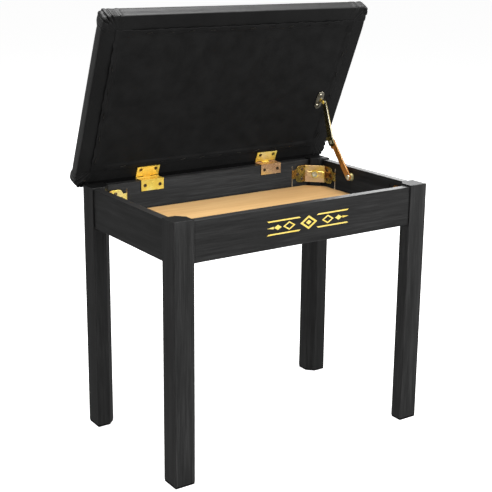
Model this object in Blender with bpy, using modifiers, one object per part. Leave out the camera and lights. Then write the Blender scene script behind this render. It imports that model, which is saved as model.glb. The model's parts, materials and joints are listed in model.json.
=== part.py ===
"""Piano bench with a padded lid that opens over a storage box.

Metres, +Z up. The origin is on the floor, under the middle of the open bench.
+X runs along the seat to the right, and the front apron faces -Y.
The lid rests open, held by the folding stay at its right end.
"""

import math

import bmesh
import bpy
from mathutils import Matrix, Vector

# Driving dimensions
GAP = 0.0003  # clearance between pieces that touch
LENGTH = 0.520  # over the legs, along X
DEPTH = 0.313  # over the legs, along Y
LEG_TOP = 0.447
LEG_SIDE = 0.037
LEG_CHAMFER = 0.013  # across each leg's inner corner
FOOT_HEIGHT = 0.0025
FRAME_Y = -0.0156  # the frame's middle: the open lid reaches further back than the frame

APRON_THICK = 0.015
APRON_HEIGHT = 0.0685
APRON_INSET = 0.0023  # behind the legs' outer faces
APRON_DROP = 0.0028  # below the leg tops, which leaves room for the hinge leaves

PANEL_THICK = 0.003
PANEL_RISE = 0.0138  # the panel's underside above the aprons' lower edge
GROOVE_DEPTH = 0.005
PANEL_CORNER_GAP = 0.001  # between the clipped corners and the legs

LID_LENGTH = 0.550
LID_DEPTH = 0.328
LID_OPEN = math.radians(66.8)
LID_BACK = 0.0023  # the lid's back edge behind the hinge pin
LID_RISE = 0.0031  # the lid's underside above the pin when closed
LID_EDGE = 0.036  # underside to the top at the pad's edge
LID_CROWN = 0.006
LID_CORNER = 0.020
PAD_ROUND = 0.0225
COVER_THICK = 0.0012
BOARD_THICK = 0.011
FLAP_WIDTH = 0.028  # cover turned in under the board
DUST_COVER_THICK = 0.001

PIN_BACK = 0.0015  # hinge pin behind the legs' back faces
PIN_RADIUS = 0.0014
KNUCKLE_RADIUS = 0.0028
KNUCKLE_BORE = 0.0017
HINGE_X = 0.131
HINGE_WIDTH = 0.046
KNUCKLE_WIDTH = 0.0154  # the lid leaf's middle knuckle
LEAF_THICK = 0.001
FRAME_LEAF_DROP = 0.019  # down the apron's inner face, from the apron's top
LID_LEAF_DEPTH = 0.0235
HINGE_SCREW_X = 0.0153  # either side of the hinge's middle
FRAME_SCREW_DROP = 0.0095
LID_SCREW_REACH = 0.0172

SCREW_SHANK = 0.0016
SCREW_LENGTH = 0.0115
SCREW_POINT = 0.003  # length of the tapered point
SCREW_HOLE = 0.0020
FLUSH_HEAD = 0.0032  # radius of a countersunk head
FLUSH_DEPTH = 0.0014
DOME_HEAD = 0.0045  # radius of a pan head
DOME_HEIGHT = 0.0021
RECESS_WIDTH = 0.0007  # each arm of the cross recess
RECESS_DEPTH = 0.0007

BRACKET_Z = 0.4170
BRACKET_HEIGHT = 0.0335
BRACKET_THICK = 0.0015
BRACKET_BEND = 0.0285  # from the aprons' inner corner to each bend
BRACKET_FLANGE = 0.051  # to the end of the full-height flange
TAB_HEIGHT = 0.017
TAB_DEPTH = 0.006
BRACKET_SCREWS = ((0.040, 0.0085), (0.040, -0.0085), (0.0495, 0.0))  # (from corner, up)
KERF_FROM_CORNER = 0.0595
KERF_WIDTH = 0.0024
KERF_DEPTH = 0.008
KERF_TOP_DROP = 0.0115  # below the aprons' top
BOLT_RADIUS = 0.003
BOLT_IN_LEG = 0.022
BOLT_LENGTH = 0.0365
WASHER_RADIUS = 0.008
WASHER_THICK = 0.0012
NUT_ACROSS_FLATS = 0.010
NUT_THICK = 0.005

# The stay: its pivots as (Y from the frame's middle, Z), and layers along X
STAY_WALL = (0.0310, 0.4265)
STAY_KNEE = (0.0805, 0.4865)
STAY_LID_REACH = 0.129  # upper pivot, forward of the hinge pin along the lid
STAY_LID_DROP = 0.0029  # upper pivot, below the pin's level when closed
STAY_PLATE_DEPTH = 0.0165  # along X
STAY_PLATE_REACH = (0.0165, 0.0205)  # behind and in front of the pivot
STAY_PLATE_SCREWS = {"back": (0.0112, -0.0095), "front": (0.0100, 0.0129)}  # inward, forward
ARM_THICK = 0.002
LOWER_ARM_X = 0.2355  # middle of the lower arm's thickness
UPPER_ARM_X = 0.2312
LOWER_ARM_WIDTH = 0.0135
UPPER_ARM_WIDTH = (0.010, 0.017)  # at the lid and at the knee
PIVOT_RADIUS = 0.002
PIVOT_HOLE = 0.0023
RIVET_HEAD = 0.0036
RIVET_DOME = 0.0011
RIVET_SHOULDER = 0.0038  # the spacer between the two arms
EAR_START = 0.004  # each arm's thumb ear, back from the knee
EAR_WIDTH = 0.007
EAR_RISE = 0.004
EAR_THICK = 0.0015
LUG_THICK = 0.0017
LUG_RADIUS = 0.005
STAY_PLATE_THICK = 0.0015

# Worked out from the above
HALF_X = LENGTH / 2
HALF_Y = DEPTH / 2
APRON_TOP = LEG_TOP - APRON_DROP
APRON_BOTTOM = APRON_TOP - APRON_HEIGHT
APRON_OUT_X = HALF_X - APRON_INSET
APRON_OUT_Y = HALF_Y - APRON_INSET
INNER_X = APRON_OUT_X - APRON_THICK
INNER_Y = APRON_OUT_Y - APRON_THICK
APRON_END_X = HALF_X - LEG_SIDE - GAP
APRON_END_Y = HALF_Y - LEG_SIDE - GAP
PANEL_BOTTOM = APRON_BOTTOM + PANEL_RISE
PIN_Y = FRAME_Y + HALF_Y + PIN_BACK
PIN_Z = APRON_TOP
CORNER_DIAGONAL = (HALF_X + HALF_Y - 2 * LEG_SIDE) + LEG_CHAMFER  # x + y on a leg's chamfer

BLACK_FILM = ("black_film", (0.018, 0.018, 0.019, 1), 0.45, 0.0)
LEATHER = ("black_leather", (0.012, 0.012, 0.013, 1), 0.40, 0.0)
BOARD = ("board", (0.45, 0.31, 0.18, 1), 0.80, 0.0)
FOAM = ("foam", (0.75, 0.70, 0.55, 1), 0.95, 0.0)
DUST = ("dust_cover", (0.014, 0.014, 0.015, 1), 0.70, 0.0)
PANEL = ("bare_panel", (0.78, 0.58, 0.36, 1), 0.60, 0.0)
RUBBER = ("rubber", (0.01, 0.01, 0.01, 1), 0.85, 0.0)
ZINC = ("yellow_zinc", (0.80, 0.60, 0.25, 1), 0.28, 1.0)
COPPER = ("copper_zinc", (0.75, 0.38, 0.14, 1), 0.30, 1.0)
STEEL = ("bright_steel", (0.62, 0.60, 0.55, 1), 0.25, 1.0)
DARK_SCREW = ("dark_screw", (0.22, 0.16, 0.10, 1), 0.35, 1.0)

CORNERS = {"back_right": 0, "back_left": 1, "front_left": 2, "front_right": 3}  # quarter turns


def clear_scene():
    for obj in list(bpy.data.objects):
        bpy.data.objects.remove(obj, do_unlink=True)


def new_collection(name):
    found = bpy.data.collections.new(name)
    bpy.context.scene.collection.children.link(found)
    return found


clear_scene()
PARTS = new_collection("piano_bench")
CUTTERS = new_collection("cutters")


def material(spec):
    name, colour, roughness, metallic = spec
    found = bpy.data.materials.get(name)
    if found is None:
        found = bpy.data.materials.new(name)
        found.use_nodes = True
        shader = found.node_tree.nodes["Principled BSDF"]
        shader.inputs["Base Color"].default_value = colour
        shader.inputs["Roughness"].default_value = roughness
        shader.inputs["Metallic"].default_value = metallic
    return found


def add_object(name, mesh, spec=None, parent=None):
    """An object in the parts collection, or a cutter where it has no material."""
    obj = bpy.data.objects.new(name, mesh)
    (PARTS if spec else CUTTERS).objects.link(obj)
    if spec:
        if not mesh.materials:
            mesh.materials.append(material(spec))
    else:
        obj.hide_render = True
        obj.display_type = "WIRE"
    obj.parent = parent
    return obj


def mesh_from(bm, name):
    mesh = bpy.data.meshes.new(name)
    bm.to_mesh(mesh)
    bm.free()
    return mesh


def box(name, low, high, spec=None, parent=None, bevel=0.0):
    """A box between two corners, with its edges eased."""
    low, high = Vector(low), Vector(high)
    bm = bmesh.new()
    bmesh.ops.create_cube(bm, size=1)
    bmesh.ops.scale(bm, vec=high - low, verts=bm.verts)
    obj = add_object(name, mesh_from(bm, name), spec, parent)
    obj.location = (low + high) / 2
    if bevel:
        ease_edges(obj, bevel)
    return obj


def ease_edges(obj, width):
    bevel = obj.modifiers.new("eased_edges", "BEVEL")
    bevel.width = width
    bevel.segments = 1
    bevel.limit_method = "ANGLE"


def cylinder(name, start, end, radius, spec=None, parent=None, sides=16):
    """A cylinder between two points."""
    start, end = Vector(start), Vector(end)
    bm = bmesh.new()
    bmesh.ops.create_cone(
        bm,
        cap_ends=True,
        segments=sides,
        radius1=radius,
        radius2=radius,
        depth=(end - start).length,
    )
    turn = Vector((0, 0, 1)).rotation_difference(end - start).to_matrix().to_4x4()
    bmesh.ops.transform(bm, matrix=Matrix.Translation((start + end) / 2) @ turn, verts=bm.verts)
    obj = add_object(name, mesh_from(bm, name), spec, parent)
    shade_round(obj.data)
    return obj


def shade_round(mesh):
    mesh.shade_smooth()
    mesh.set_sharp_from_angle(angle=math.radians(35))


def turned(name, profile, start, direction, spec=None, parent=None, steps=14):
    """A turned piece: profile is (radius, distance along direction), closed back onto the axis."""
    profile = list(profile)
    if profile[0][1] < profile[-1][1]:
        profile.reverse()  # a turned profile runs down its outer side
    points = [(0.0, profile[0][1])] + profile + [(0.0, profile[-1][1])]
    bm = bmesh.new()
    verts = [bm.verts.new((radius, 0, height)) for radius, height in points]
    for first, second in zip(verts, verts[1:]):
        bm.edges.new((first, second))
    obj = add_object(name, mesh_from(bm, name), spec, parent)
    screw = obj.modifiers.new("turn", "SCREW")
    screw.steps = screw.render_steps = steps
    screw.use_merge_vertices = True
    screw.merge_threshold = 0.00001
    obj.location = start
    obj.rotation_euler = Vector((0, 0, 1)).rotation_difference(Vector(direction)).to_euler()
    return obj


def plate(name, outline, thickness, holes=(), spec=None, parent=None):
    """A flat plate: a closed outline in its own XY, with round holes (x, y, radius)."""
    curve = bpy.data.curves.new(name, "CURVE")
    curve.dimensions = "2D"
    curve.fill_mode = "BOTH"
    curve.extrude = thickness / 2
    rings = [outline] + [circle_points(x, y, radius) for x, y, radius in holes]
    for ring in rings:
        spline = curve.splines.new("POLY")
        spline.points.add(len(ring) - 1)
        for point, (x, y) in zip(spline.points, ring):
            point.co = (x, y, 0, 1)
        spline.use_cyclic_u = True
    guide = bpy.data.objects.new(name + "_outline", curve)
    CUTTERS.objects.link(guide)
    mesh = as_mesh(guide, name)
    bpy.data.objects.remove(guide)
    return add_object(name, mesh, spec, parent)


def as_mesh(obj, name):
    """The evaluated object as a plain mesh with its caps welded."""
    bpy.context.view_layer.update()
    depsgraph = bpy.context.evaluated_depsgraph_get()
    mesh = bpy.data.meshes.new_from_object(obj.evaluated_get(depsgraph), depsgraph=depsgraph)
    mesh.name = name
    bm = bmesh.new()
    bm.from_mesh(mesh)
    bmesh.ops.remove_doubles(bm, verts=bm.verts, dist=0.000005)
    bmesh.ops.recalc_face_normals(bm, faces=bm.faces)
    bm.to_mesh(mesh)
    bm.free()
    return mesh


def circle_points(x, y, radius, count=16, start=0.0, sweep=math.tau):
    closed = abs(sweep - math.tau) < 1e-9
    steps = count if closed else count - 1
    turns = [start + sweep * i / steps for i in range(count)]
    return [(x + radius * math.cos(turn), y + radius * math.sin(turn)) for turn in turns]


def boolean(obj, cutter, operation="DIFFERENCE"):
    step = obj.modifiers.new(cutter.name, "BOOLEAN")
    step.object = cutter
    step.operation = operation
    step.solver = "EXACT"


def empty(name, location, angle_x=0.0):
    found = bpy.data.objects.new(name, None)
    PARTS.objects.link(found)
    found.location = location
    found.rotation_euler = (angle_x, 0, 0)
    return found


def repeat_in_corners(first, base_name, spec):
    """The piece made for the back right corner, and its copies turned into the other three."""
    mesh = as_mesh(first, base_name)
    mesh.materials.clear()
    shade_round(mesh)
    bpy.data.objects.remove(first)
    for corner, turns in CORNERS.items():
        copy = add_object(f"{base_name}_{corner}", mesh, spec)
        sign_x = 1 if turns in (0, 3) else -1
        sign_y = 1 if turns in (0, 1) else -1
        copy.location = (sign_x * INNER_X, FRAME_Y + sign_y * INNER_Y, 0)
        copy.rotation_euler = (0, 0, turns * math.pi / 2)


# Corner pieces are made about the aprons' inner corner at the back right, which the
# half turns and quarter turns then carry into the other corners. The frame isn't
# square, so each piece is the same about the corner's diagonal.
LEG_OUT = APRON_INSET + APRON_THICK  # from the inner corner to a leg's outer faces
LEG_IN = LEG_OUT - LEG_SIDE
CHAMFER_DISTANCE = (2 * -LEG_IN - LEG_CHAMFER) / math.sqrt(2)  # inner corner to the chamfer
INWARD = Vector((-1, -1, 0)).normalized()


def leg_outline(inset=0.0):
    low, high = LEG_IN + inset, LEG_OUT - inset
    return [
        (low + LEG_CHAMFER, low),
        (high, low),
        (high, high),
        (low, high),
        (low, low + LEG_CHAMFER),
    ]


def along_bolt(distance):
    return INWARD * distance + Vector((0, 0, BRACKET_Z))


def build_legs():
    height = LEG_TOP - FOOT_HEIGHT - GAP
    leg = plate("leg_blank", leg_outline(), height)
    leg.location = (0, 0, FOOT_HEIGHT + GAP + height / 2)
    ease_edges(leg, 0.0006)
    hole = cylinder(
        "leg_bolt_hole",
        along_bolt(CHAMFER_DISTANCE - BOLT_IN_LEG - 0.001),
        along_bolt(CHAMFER_DISTANCE + 0.01),
        BOLT_RADIUS + GAP,
    )
    boolean(leg, hole)
    bake_location(leg)
    repeat_in_corners(leg, "leg", BLACK_FILM)


def bake_location(obj):
    """The object's evaluated mesh, moved to where the object stands."""
    mesh = as_mesh(obj, obj.name)
    mesh.transform(obj.matrix_world)
    obj.modifiers.clear()
    obj.data = mesh
    obj.matrix_world = Matrix.Identity(4)


def build_feet():
    foot = plate("foot_blank", leg_outline(0.0006), FOOT_HEIGHT)
    foot.location = (0, 0, FOOT_HEIGHT / 2)
    bake_location(foot)
    repeat_in_corners(foot, "foot_pad", RUBBER)


def kerf_cutter(name, middle, along_x):
    """A saw kerf up from an apron's lower edge, for a bracket's tab."""
    half = Vector((KERF_WIDTH / 2, KERF_DEPTH, 0))
    if not along_x:
        half.x, half.y = half.y, half.x
    low = Vector(middle) - half
    high = Vector(middle) + half
    low.z = APRON_BOTTOM - 0.005
    high.z = APRON_TOP - KERF_TOP_DROP
    return box(name, low, high)


def build_long_apron(name, side):
    """The front apron (side -1) or the back apron (side +1)."""
    outer, inner = FRAME_Y + side * APRON_OUT_Y, FRAME_Y + side * INNER_Y
    apron = box(
        name,
        (-APRON_END_X, min(outer, inner), APRON_BOTTOM),
        (APRON_END_X, max(outer, inner), APRON_TOP),
        BLACK_FILM,
        bevel=0.0005,
    )
    groove_y = sorted((inner - side * 0.002, inner + side * (GROOVE_DEPTH + GAP)))
    cut = box(
        name + "_groove",
        (-HALF_X, groove_y[0], PANEL_BOTTOM - GAP),
        (HALF_X, groove_y[1], PANEL_BOTTOM + PANEL_THICK + GAP),
    )
    boolean(apron, cut)
    for end in (-1, 1):
        middle = (end * (INNER_X - KERF_FROM_CORNER), inner, 0)
        boolean(apron, kerf_cutter(f"{name}_kerf_{end}", middle, True))
    return apron


def build_short_apron(name, side):
    """The left apron (side -1) or the right apron (side +1)."""
    outer, inner = side * APRON_OUT_X, side * INNER_X
    apron = box(
        name,
        (min(outer, inner), FRAME_Y - APRON_END_Y, APRON_BOTTOM),
        (max(outer, inner), FRAME_Y + APRON_END_Y, APRON_TOP),
        BLACK_FILM,
        bevel=0.0005,
    )
    groove_x = sorted((inner - side * 0.002, inner + side * (GROOVE_DEPTH + GAP)))
    cut = box(
        name + "_groove",
        (groove_x[0], FRAME_Y - HALF_Y, PANEL_BOTTOM - GAP),
        (groove_x[1], FRAME_Y + HALF_Y, PANEL_BOTTOM + PANEL_THICK + GAP),
    )
    boolean(apron, cut)
    for end in (-1, 1):
        middle = (inner, FRAME_Y + end * (INNER_Y - KERF_FROM_CORNER), 0)
        boolean(apron, kerf_cutter(f"{name}_kerf_{end}", middle, False))
    return apron


def build_panel():
    half_x, half_y = INNER_X + GROOVE_DEPTH, INNER_Y + GROOVE_DEPTH
    reach = CORNER_DIAGONAL - PANEL_CORNER_GAP * math.sqrt(2)
    outline = []
    for sign_x, sign_y in ((1, 1), (-1, 1), (-1, -1), (1, -1)):
        along_side = (sign_x * half_x, sign_y * (reach - half_x))
        along_back = (sign_x * (reach - half_y), sign_y * half_y)
        outline += [along_side, along_back] if sign_x * sign_y > 0 else [along_back, along_side]
    panel = plate("bottom_panel", outline, PANEL_THICK, spec=PANEL)
    panel.location = (0, FRAME_Y, PANEL_BOTTOM + PANEL_THICK / 2)


def wall_strip(start, end, first, depth):
    """A rectangle by the back apron's inner face, between two distances from the corner."""
    return [(-end, -first - depth), (-start, -first - depth), (-start, -first), (-end, -first)]


def swap(outline):
    """The same outline on the side apron's inner face: mirrored in the corner's diagonal."""
    return [(y, x) for x, y in reversed(outline)]


def build_brackets():
    """The pressed corner plates: two flanges, a web across the corner, and a tab in each kerf."""
    bend, reach, thick = BRACKET_BEND, BRACKET_FLANGE, BRACKET_THICK
    turn_in = thick * math.tan(math.radians(22.5))
    body = [
        (-reach, -GAP),
        (-reach, -GAP - thick),
        (-bend - turn_in, -GAP - thick),
        (-GAP - thick, -bend - turn_in),
        (-GAP - thick, -reach),
        (-GAP, -reach),
        (-GAP, -bend),
        (-bend, -GAP),
    ]
    bracket = plate("bracket_blank", body, BRACKET_HEIGHT)
    bracket.location = (0, 0, BRACKET_Z)
    tab_low = KERF_FROM_CORNER - thick / 2
    tab_high = KERF_FROM_CORNER + thick / 2
    tongue = wall_strip(reach - thick, tab_high, GAP, thick)
    tab = wall_strip(tab_low, tab_high, -TAB_DEPTH, TAB_DEPTH + GAP + thick / 3)
    rings = {
        "back_tongue": tongue,
        "back_tab": tab,
        "side_tongue": swap(tongue),
        "side_tab": swap(tab),
    }
    for label, ring in rings.items():
        piece = plate(f"bracket_{label}", ring, TAB_HEIGHT)
        piece.location = (0, 0, BRACKET_Z)
        boolean(bracket, piece, "UNION")
    for index, (distance, height) in enumerate(BRACKET_SCREWS):
        z = BRACKET_Z + height
        for label, start, end in (
            ("back", (-distance, 0.005, z), (-distance, -0.01, z)),
            ("side", (0.005, -distance, z), (-0.01, -distance, z)),
        ):
            hole = cylinder(f"bracket_{label}_hole_{index}", start, end, SCREW_HOLE, sides=10)
            boolean(bracket, hole)
    bolt_hole = cylinder("bracket_bolt_hole", along_bolt(0.005), along_bolt(0.035), BOLT_RADIUS + GAP)
    boolean(bracket, bolt_hole)
    bake_location(bracket)
    repeat_in_corners(bracket, "corner_bracket", ZINC)


def build_corner_bolts():
    """Each leg's hanger bolt, with a washer and a nut that pull the leg into its corner."""
    web_face = (BRACKET_BEND + 2 * GAP) / math.sqrt(2) + BRACKET_THICK + GAP
    bolt_start = CHAMFER_DISTANCE - BOLT_IN_LEG
    bolt_end = bolt_start + BOLT_LENGTH
    bolt = cylinder("bolt_blank", along_bolt(bolt_start), along_bolt(bolt_end), BOLT_RADIUS)
    bolt.data.materials.clear()
    repeat_in_corners(bolt, "hanger_bolt", STEEL)
    washer_end = web_face + WASHER_THICK
    washer = cylinder("washer_blank", along_bolt(web_face), along_bolt(washer_end), WASHER_RADIUS)
    nut_end = washer_end + GAP + NUT_THICK
    nut_radius = NUT_ACROSS_FLATS / math.sqrt(3)
    nut = cylinder("nut_blank", along_bolt(washer_end + GAP), along_bolt(nut_end), nut_radius, sides=6)
    bore = cylinder("corner_bore", along_bolt(0), along_bolt(0.05), BOLT_RADIUS + GAP)
    for piece, name in ((washer, "washer"), (nut, "hex_nut")):
        boolean(piece, bore)
        repeat_in_corners(piece, name, ZINC)


def screw(name, seat, direction, head, spec, parent=None):
    """A wood screw: a shank under a head profile, with a cross recess in the head's top."""
    shank = [
        (SCREW_SHANK * 0.25, SCREW_LENGTH),
        (SCREW_SHANK, SCREW_LENGTH - SCREW_POINT),
    ]
    obj = turned(name, shank + head, seat, direction, spec, parent)
    radius, top = head[-1]
    reach = min(radius, FLUSH_HEAD * 0.6)
    for index in range(2):
        recess = box(
            f"{name}_recess_{index}",
            (-reach, -RECESS_WIDTH / 2, top - RECESS_DEPTH),
            (reach, RECESS_WIDTH / 2, top + RECESS_DEPTH),
            parent=obj,
        )
        recess.rotation_euler = (0, 0, math.radians(20 + 90 * index))
        boolean(obj, recess)


def flush_screw(name, seat, direction, parent=None):
    """A countersunk screw with its head level with the seat, the point on the surface."""
    head = [(SCREW_SHANK, FLUSH_DEPTH), (FLUSH_HEAD, 0.0)]
    screw(name, seat, direction, head, DARK_SCREW, parent)


def dome_screw(name, seat, direction, parent=None):
    """A pan-head screw with its head standing on the seat."""
    head = [
        (SCREW_SHANK, -GAP),
        (DOME_HEAD, -GAP),
        (DOME_HEAD * 0.94, -GAP - DOME_HEIGHT * 0.45),
        (DOME_HEAD * 0.70, -GAP - DOME_HEIGHT * 0.85),
        (DOME_HEAD * 0.40, -GAP - DOME_HEIGHT),
    ]
    screw(name, seat, direction, head, STEEL, parent)


def screw_hole(name, seat, direction, parent=None, flush=True):
    """The hole for a screw, opened out to a countersink where its head is flush."""
    mouth = FLUSH_HEAD + GAP if flush else SCREW_HOLE
    profile = [
        (SCREW_HOLE, SCREW_LENGTH + 0.001),
        (SCREW_HOLE, FLUSH_DEPTH),
        (mouth, 0.0),
        (mouth, -0.003),
    ]
    return turned(name, profile, seat, direction, parent=parent, steps=12)


def along_pin(name, left, right, radius, spec=None):
    return cylinder(name, (left, PIN_Y, PIN_Z), (right, PIN_Y, PIN_Z), radius, spec)


def build_frame_leaf(name, middle_x, apron):
    """The leaf that hooks over the back apron, with the two outer knuckles."""
    left, right = middle_x - HINGE_WIDTH / 2, middle_x + HINGE_WIDTH / 2
    face_y = FRAME_Y + INNER_Y - GAP
    over = APRON_TOP + GAP
    leaf = box(
        name,
        (left, face_y - LEAF_THICK, APRON_TOP - FRAME_LEAF_DROP),
        (right, face_y, over + LEAF_THICK),
        ZINC,
    )
    top = box(
        name + "_top",
        (left, face_y - LEAF_THICK / 2, over),
        (right, PIN_Y - KNUCKLE_BORE - GAP, over + LEAF_THICK),
    )
    boolean(leaf, top, "UNION")
    notch_half = KNUCKLE_WIDTH / 2 + GAP
    notch = box(
        name + "_notch",
        (middle_x - notch_half, PIN_Y - KNUCKLE_RADIUS - 2 * GAP, over - 0.002),
        (middle_x + notch_half, PIN_Y + 0.01, over + 0.004),
    )
    boolean(leaf, notch)
    for label, start, end in (
        ("left", left, middle_x - notch_half),
        ("right", middle_x + notch_half, right),
    ):
        knuckle = along_pin(f"{name}_knuckle_{label}", start, end, KNUCKLE_RADIUS)
        boolean(leaf, knuckle, "UNION")
    bore = along_pin(name + "_bore", left - 0.01, right + 0.01, KNUCKLE_BORE)
    boolean(leaf, bore)
    for side, label in ((-1, "left"), (1, "right")):
        seat = (middle_x + side * HINGE_SCREW_X, face_y - LEAF_THICK, APRON_TOP - FRAME_SCREW_DROP)
        hole = screw_hole(f"{name}_hole_{label}", seat, (0, 1, 0))
        boolean(leaf, hole)
        boolean(apron, hole)
        flush_screw(f"{name}_screw_{label}", seat, (0, 1, 0))


def build_pin(name, middle_x):
    half = HINGE_WIDTH / 2 + 2 * GAP
    along_pin(name, middle_x - half, middle_x + half, PIN_RADIUS, STEEL)


def build_lid_leaf(name, middle_x, lid, cut_pieces):
    """The leaf screwed under the lid, with the middle knuckle, about the pin."""
    left, right = middle_x - HINGE_WIDTH / 2, middle_x + HINGE_WIDTH / 2
    top = LID_RISE - GAP
    half = KNUCKLE_WIDTH / 2
    leaf = box(
        name,
        (left, -LID_LEAF_DEPTH, top - LEAF_THICK),
        (right, -KNUCKLE_RADIUS - 2 * GAP, top),
        ZINC,
        lid,
    )
    tongue = box(
        name + "_tongue",
        (middle_x - half, -KNUCKLE_RADIUS - 0.002, top - LEAF_THICK),
        (middle_x + half, 0, top),
        parent=lid,
    )
    boolean(leaf, tongue, "UNION")
    start, end = (middle_x - half, 0, 0), (middle_x + half, 0, 0)
    knuckle = cylinder(name + "_knuckle", start, end, KNUCKLE_RADIUS, parent=lid)
    bore = cylinder(name + "_bore", (left, 0, 0), (right, 0, 0), KNUCKLE_BORE, parent=lid)
    boolean(leaf, knuckle, "UNION")
    boolean(leaf, bore)
    for side, label in ((-1, "left"), (1, "right")):
        seat = (middle_x + side * HINGE_SCREW_X, -LID_SCREW_REACH, top - LEAF_THICK)
        hole = screw_hole(f"{name}_hole_{label}", seat, (0, 0, 1), lid)
        for piece in [leaf] + cut_pieces:
            boolean(piece, hole)
        flush_screw(f"{name}_screw_{label}", seat, (0, 0, 1), lid)


def raise_cap(bm, inset, rise):
    """The top face pulled up by rise and drawn in by inset on every side."""
    cap = max(bm.faces, key=lambda face: face.calc_center_median().z)
    cap = bmesh.ops.extrude_discrete_faces(bm, faces=[cap])["faces"][0]
    middle = cap.calc_center_bounds()
    reach_x = max(vert.co.x for vert in cap.verts) - middle.x
    reach_y = max(vert.co.y for vert in cap.verts) - middle.y
    for vert in cap.verts:
        vert.co.x = middle.x + (vert.co.x - middle.x) * (1 - inset / reach_x)
        vert.co.y = middle.y + (vert.co.y - middle.y) * (1 - inset / reach_y)
        vert.co.z += rise


def pad_form(name, inset, bottom, top, spec, lid, padded=True):
    """A slab about the hinge pin with round corners and, if padded, round top edges and a crown."""
    half_x = LID_LENGTH / 2 - inset
    front, back = LID_BACK - LID_DEPTH + inset, LID_BACK - inset
    radius = PAD_ROUND - inset if padded else 0.0
    height = top - radius - bottom
    bm = bmesh.new()
    bmesh.ops.create_cube(bm, size=1)
    bmesh.ops.scale(bm, vec=(2 * half_x, back - front, height), verts=bm.verts)
    bmesh.ops.translate(bm, vec=(0, (front + back) / 2, bottom + height / 2), verts=bm.verts)
    uprights = [edge for edge in bm.edges if abs(edge.verts[0].co.z - edge.verts[1].co.z) > 1e-6]
    corner = LID_CORNER - inset
    bmesh.ops.bevel(bm, geom=uprights, offset=corner, segments=4, affect="EDGES", profile=0.5)
    if padded:
        steps = 5
        for step in range(steps):
            start, end = (math.pi / 2 * turn / steps for turn in (step, step + 1))
            inward = radius * (math.cos(start) - math.cos(end))
            upward = radius * (math.sin(end) - math.sin(start))
            raise_cap(bm, inward, upward)
        for width, rise in ((0.035, LID_CROWN * 0.65), (0.045, LID_CROWN * 0.35)):
            raise_cap(bm, width, rise)
    return add_object(name, mesh_from(bm, name), spec, lid)


def build_lid(lid):
    """The board, the pad, the cover turned in under the board, and the dust cover in its window."""
    top = LID_RISE + LID_EDGE
    slack = COVER_THICK + GAP
    board_low = LID_RISE + slack
    board_high = board_low + BOARD_THICK
    board = pad_form("lid_board", slack, board_low, board_high, BOARD, lid, padded=False)
    pad_form("foam_pad", slack, board_high + GAP, top - slack, FOAM, lid)
    cover = pad_form("seat_cover", 0.0, LID_RISE, top, LEATHER, lid)
    inner_low, inner_high = LID_RISE + COVER_THICK, top - COVER_THICK
    boolean(cover, pad_form("cover_hollow", COVER_THICK, inner_low, inner_high, None, lid))
    half_x = LID_LENGTH / 2 - FLAP_WIDTH
    front, back = LID_BACK - LID_DEPTH + FLAP_WIDTH, LID_BACK - FLAP_WIDTH
    window = box("cover_window", (-half_x, front, -0.01), (half_x, back, board_low), parent=lid)
    boolean(cover, window)
    rim = 0.0005
    dust = box(
        "dust_cover",
        (-half_x + rim, front + rim, board_low - GAP - DUST_COVER_THICK),
        (half_x - rim, back - rim, board_low - GAP),
        DUST,
        lid,
    )
    return board, cover, dust


def build_stay_lid_plate(lid, board, dust):
    """The plate under the lid with the lug that carries the stay's upper pivot."""
    outer = UPPER_ARM_X - ARM_THICK / 2 - GAP
    lug_inner = outer - LUG_THICK
    top = LID_RISE - GAP
    pivot_y, pivot_z = -STAY_LID_REACH, -STAY_LID_DROP
    behind, ahead = STAY_PLATE_REACH
    base = box(
        "stay_lid_plate",
        (outer - STAY_PLATE_DEPTH, pivot_y - ahead, top - STAY_PLATE_THICK),
        (outer, pivot_y + behind, top),
        STEEL,
        lid,
    )
    lug = box(
        "stay_lug",
        (lug_inner, pivot_y - LUG_RADIUS, pivot_z),
        (outer, pivot_y + LUG_RADIUS, top - GAP),
        parent=lid,
    )
    lug_end = cylinder(
        "stay_lug_end",
        (lug_inner, pivot_y, pivot_z),
        (outer, pivot_y, pivot_z),
        LUG_RADIUS,
        parent=lid,
    )
    bore = cylinder(
        "stay_lug_bore",
        (lug_inner - 0.01, pivot_y, pivot_z),
        (outer + 0.01, pivot_y, pivot_z),
        PIVOT_HOLE,
        parent=lid,
    )
    boolean(base, lug, "UNION")
    boolean(base, lug_end, "UNION")
    boolean(base, bore)
    for label, (inward, forward) in STAY_PLATE_SCREWS.items():
        seat = (outer - inward, pivot_y - forward, top - STAY_PLATE_THICK)
        hole = screw_hole(f"stay_lid_plate_hole_{label}", seat, (0, 0, 1), lid, flush=False)
        for piece in (base, dust, board):
            boolean(piece, hole)
        dome_screw(f"stay_lid_plate_screw_{label}", seat, (0, 0, 1), lid)
    pivot = (0, pivot_y, pivot_z)
    rivet("stay_lid_rivet", pivot, lug_inner - GAP, UPPER_ARM_X + ARM_THICK / 2 + GAP, lid)


def rivet(name, centre, low_x, high_x, parent):
    """A rivet along X: a shank between two domed heads, whose inner faces are low_x and high_x."""
    profile = [
        (RIVET_HEAD * 0.45, low_x - RIVET_DOME),
        (RIVET_HEAD * 0.85, low_x - RIVET_DOME * 0.6),
        (RIVET_HEAD, low_x),
        (PIVOT_RADIUS, low_x),
        (PIVOT_RADIUS, high_x),
        (RIVET_HEAD, high_x),
        (RIVET_HEAD * 0.85, high_x + RIVET_DOME * 0.6),
        (RIVET_HEAD * 0.45, high_x + RIVET_DOME),
    ]
    turned(name, profile, centre, (1, 0, 0), ZINC, parent)


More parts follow.
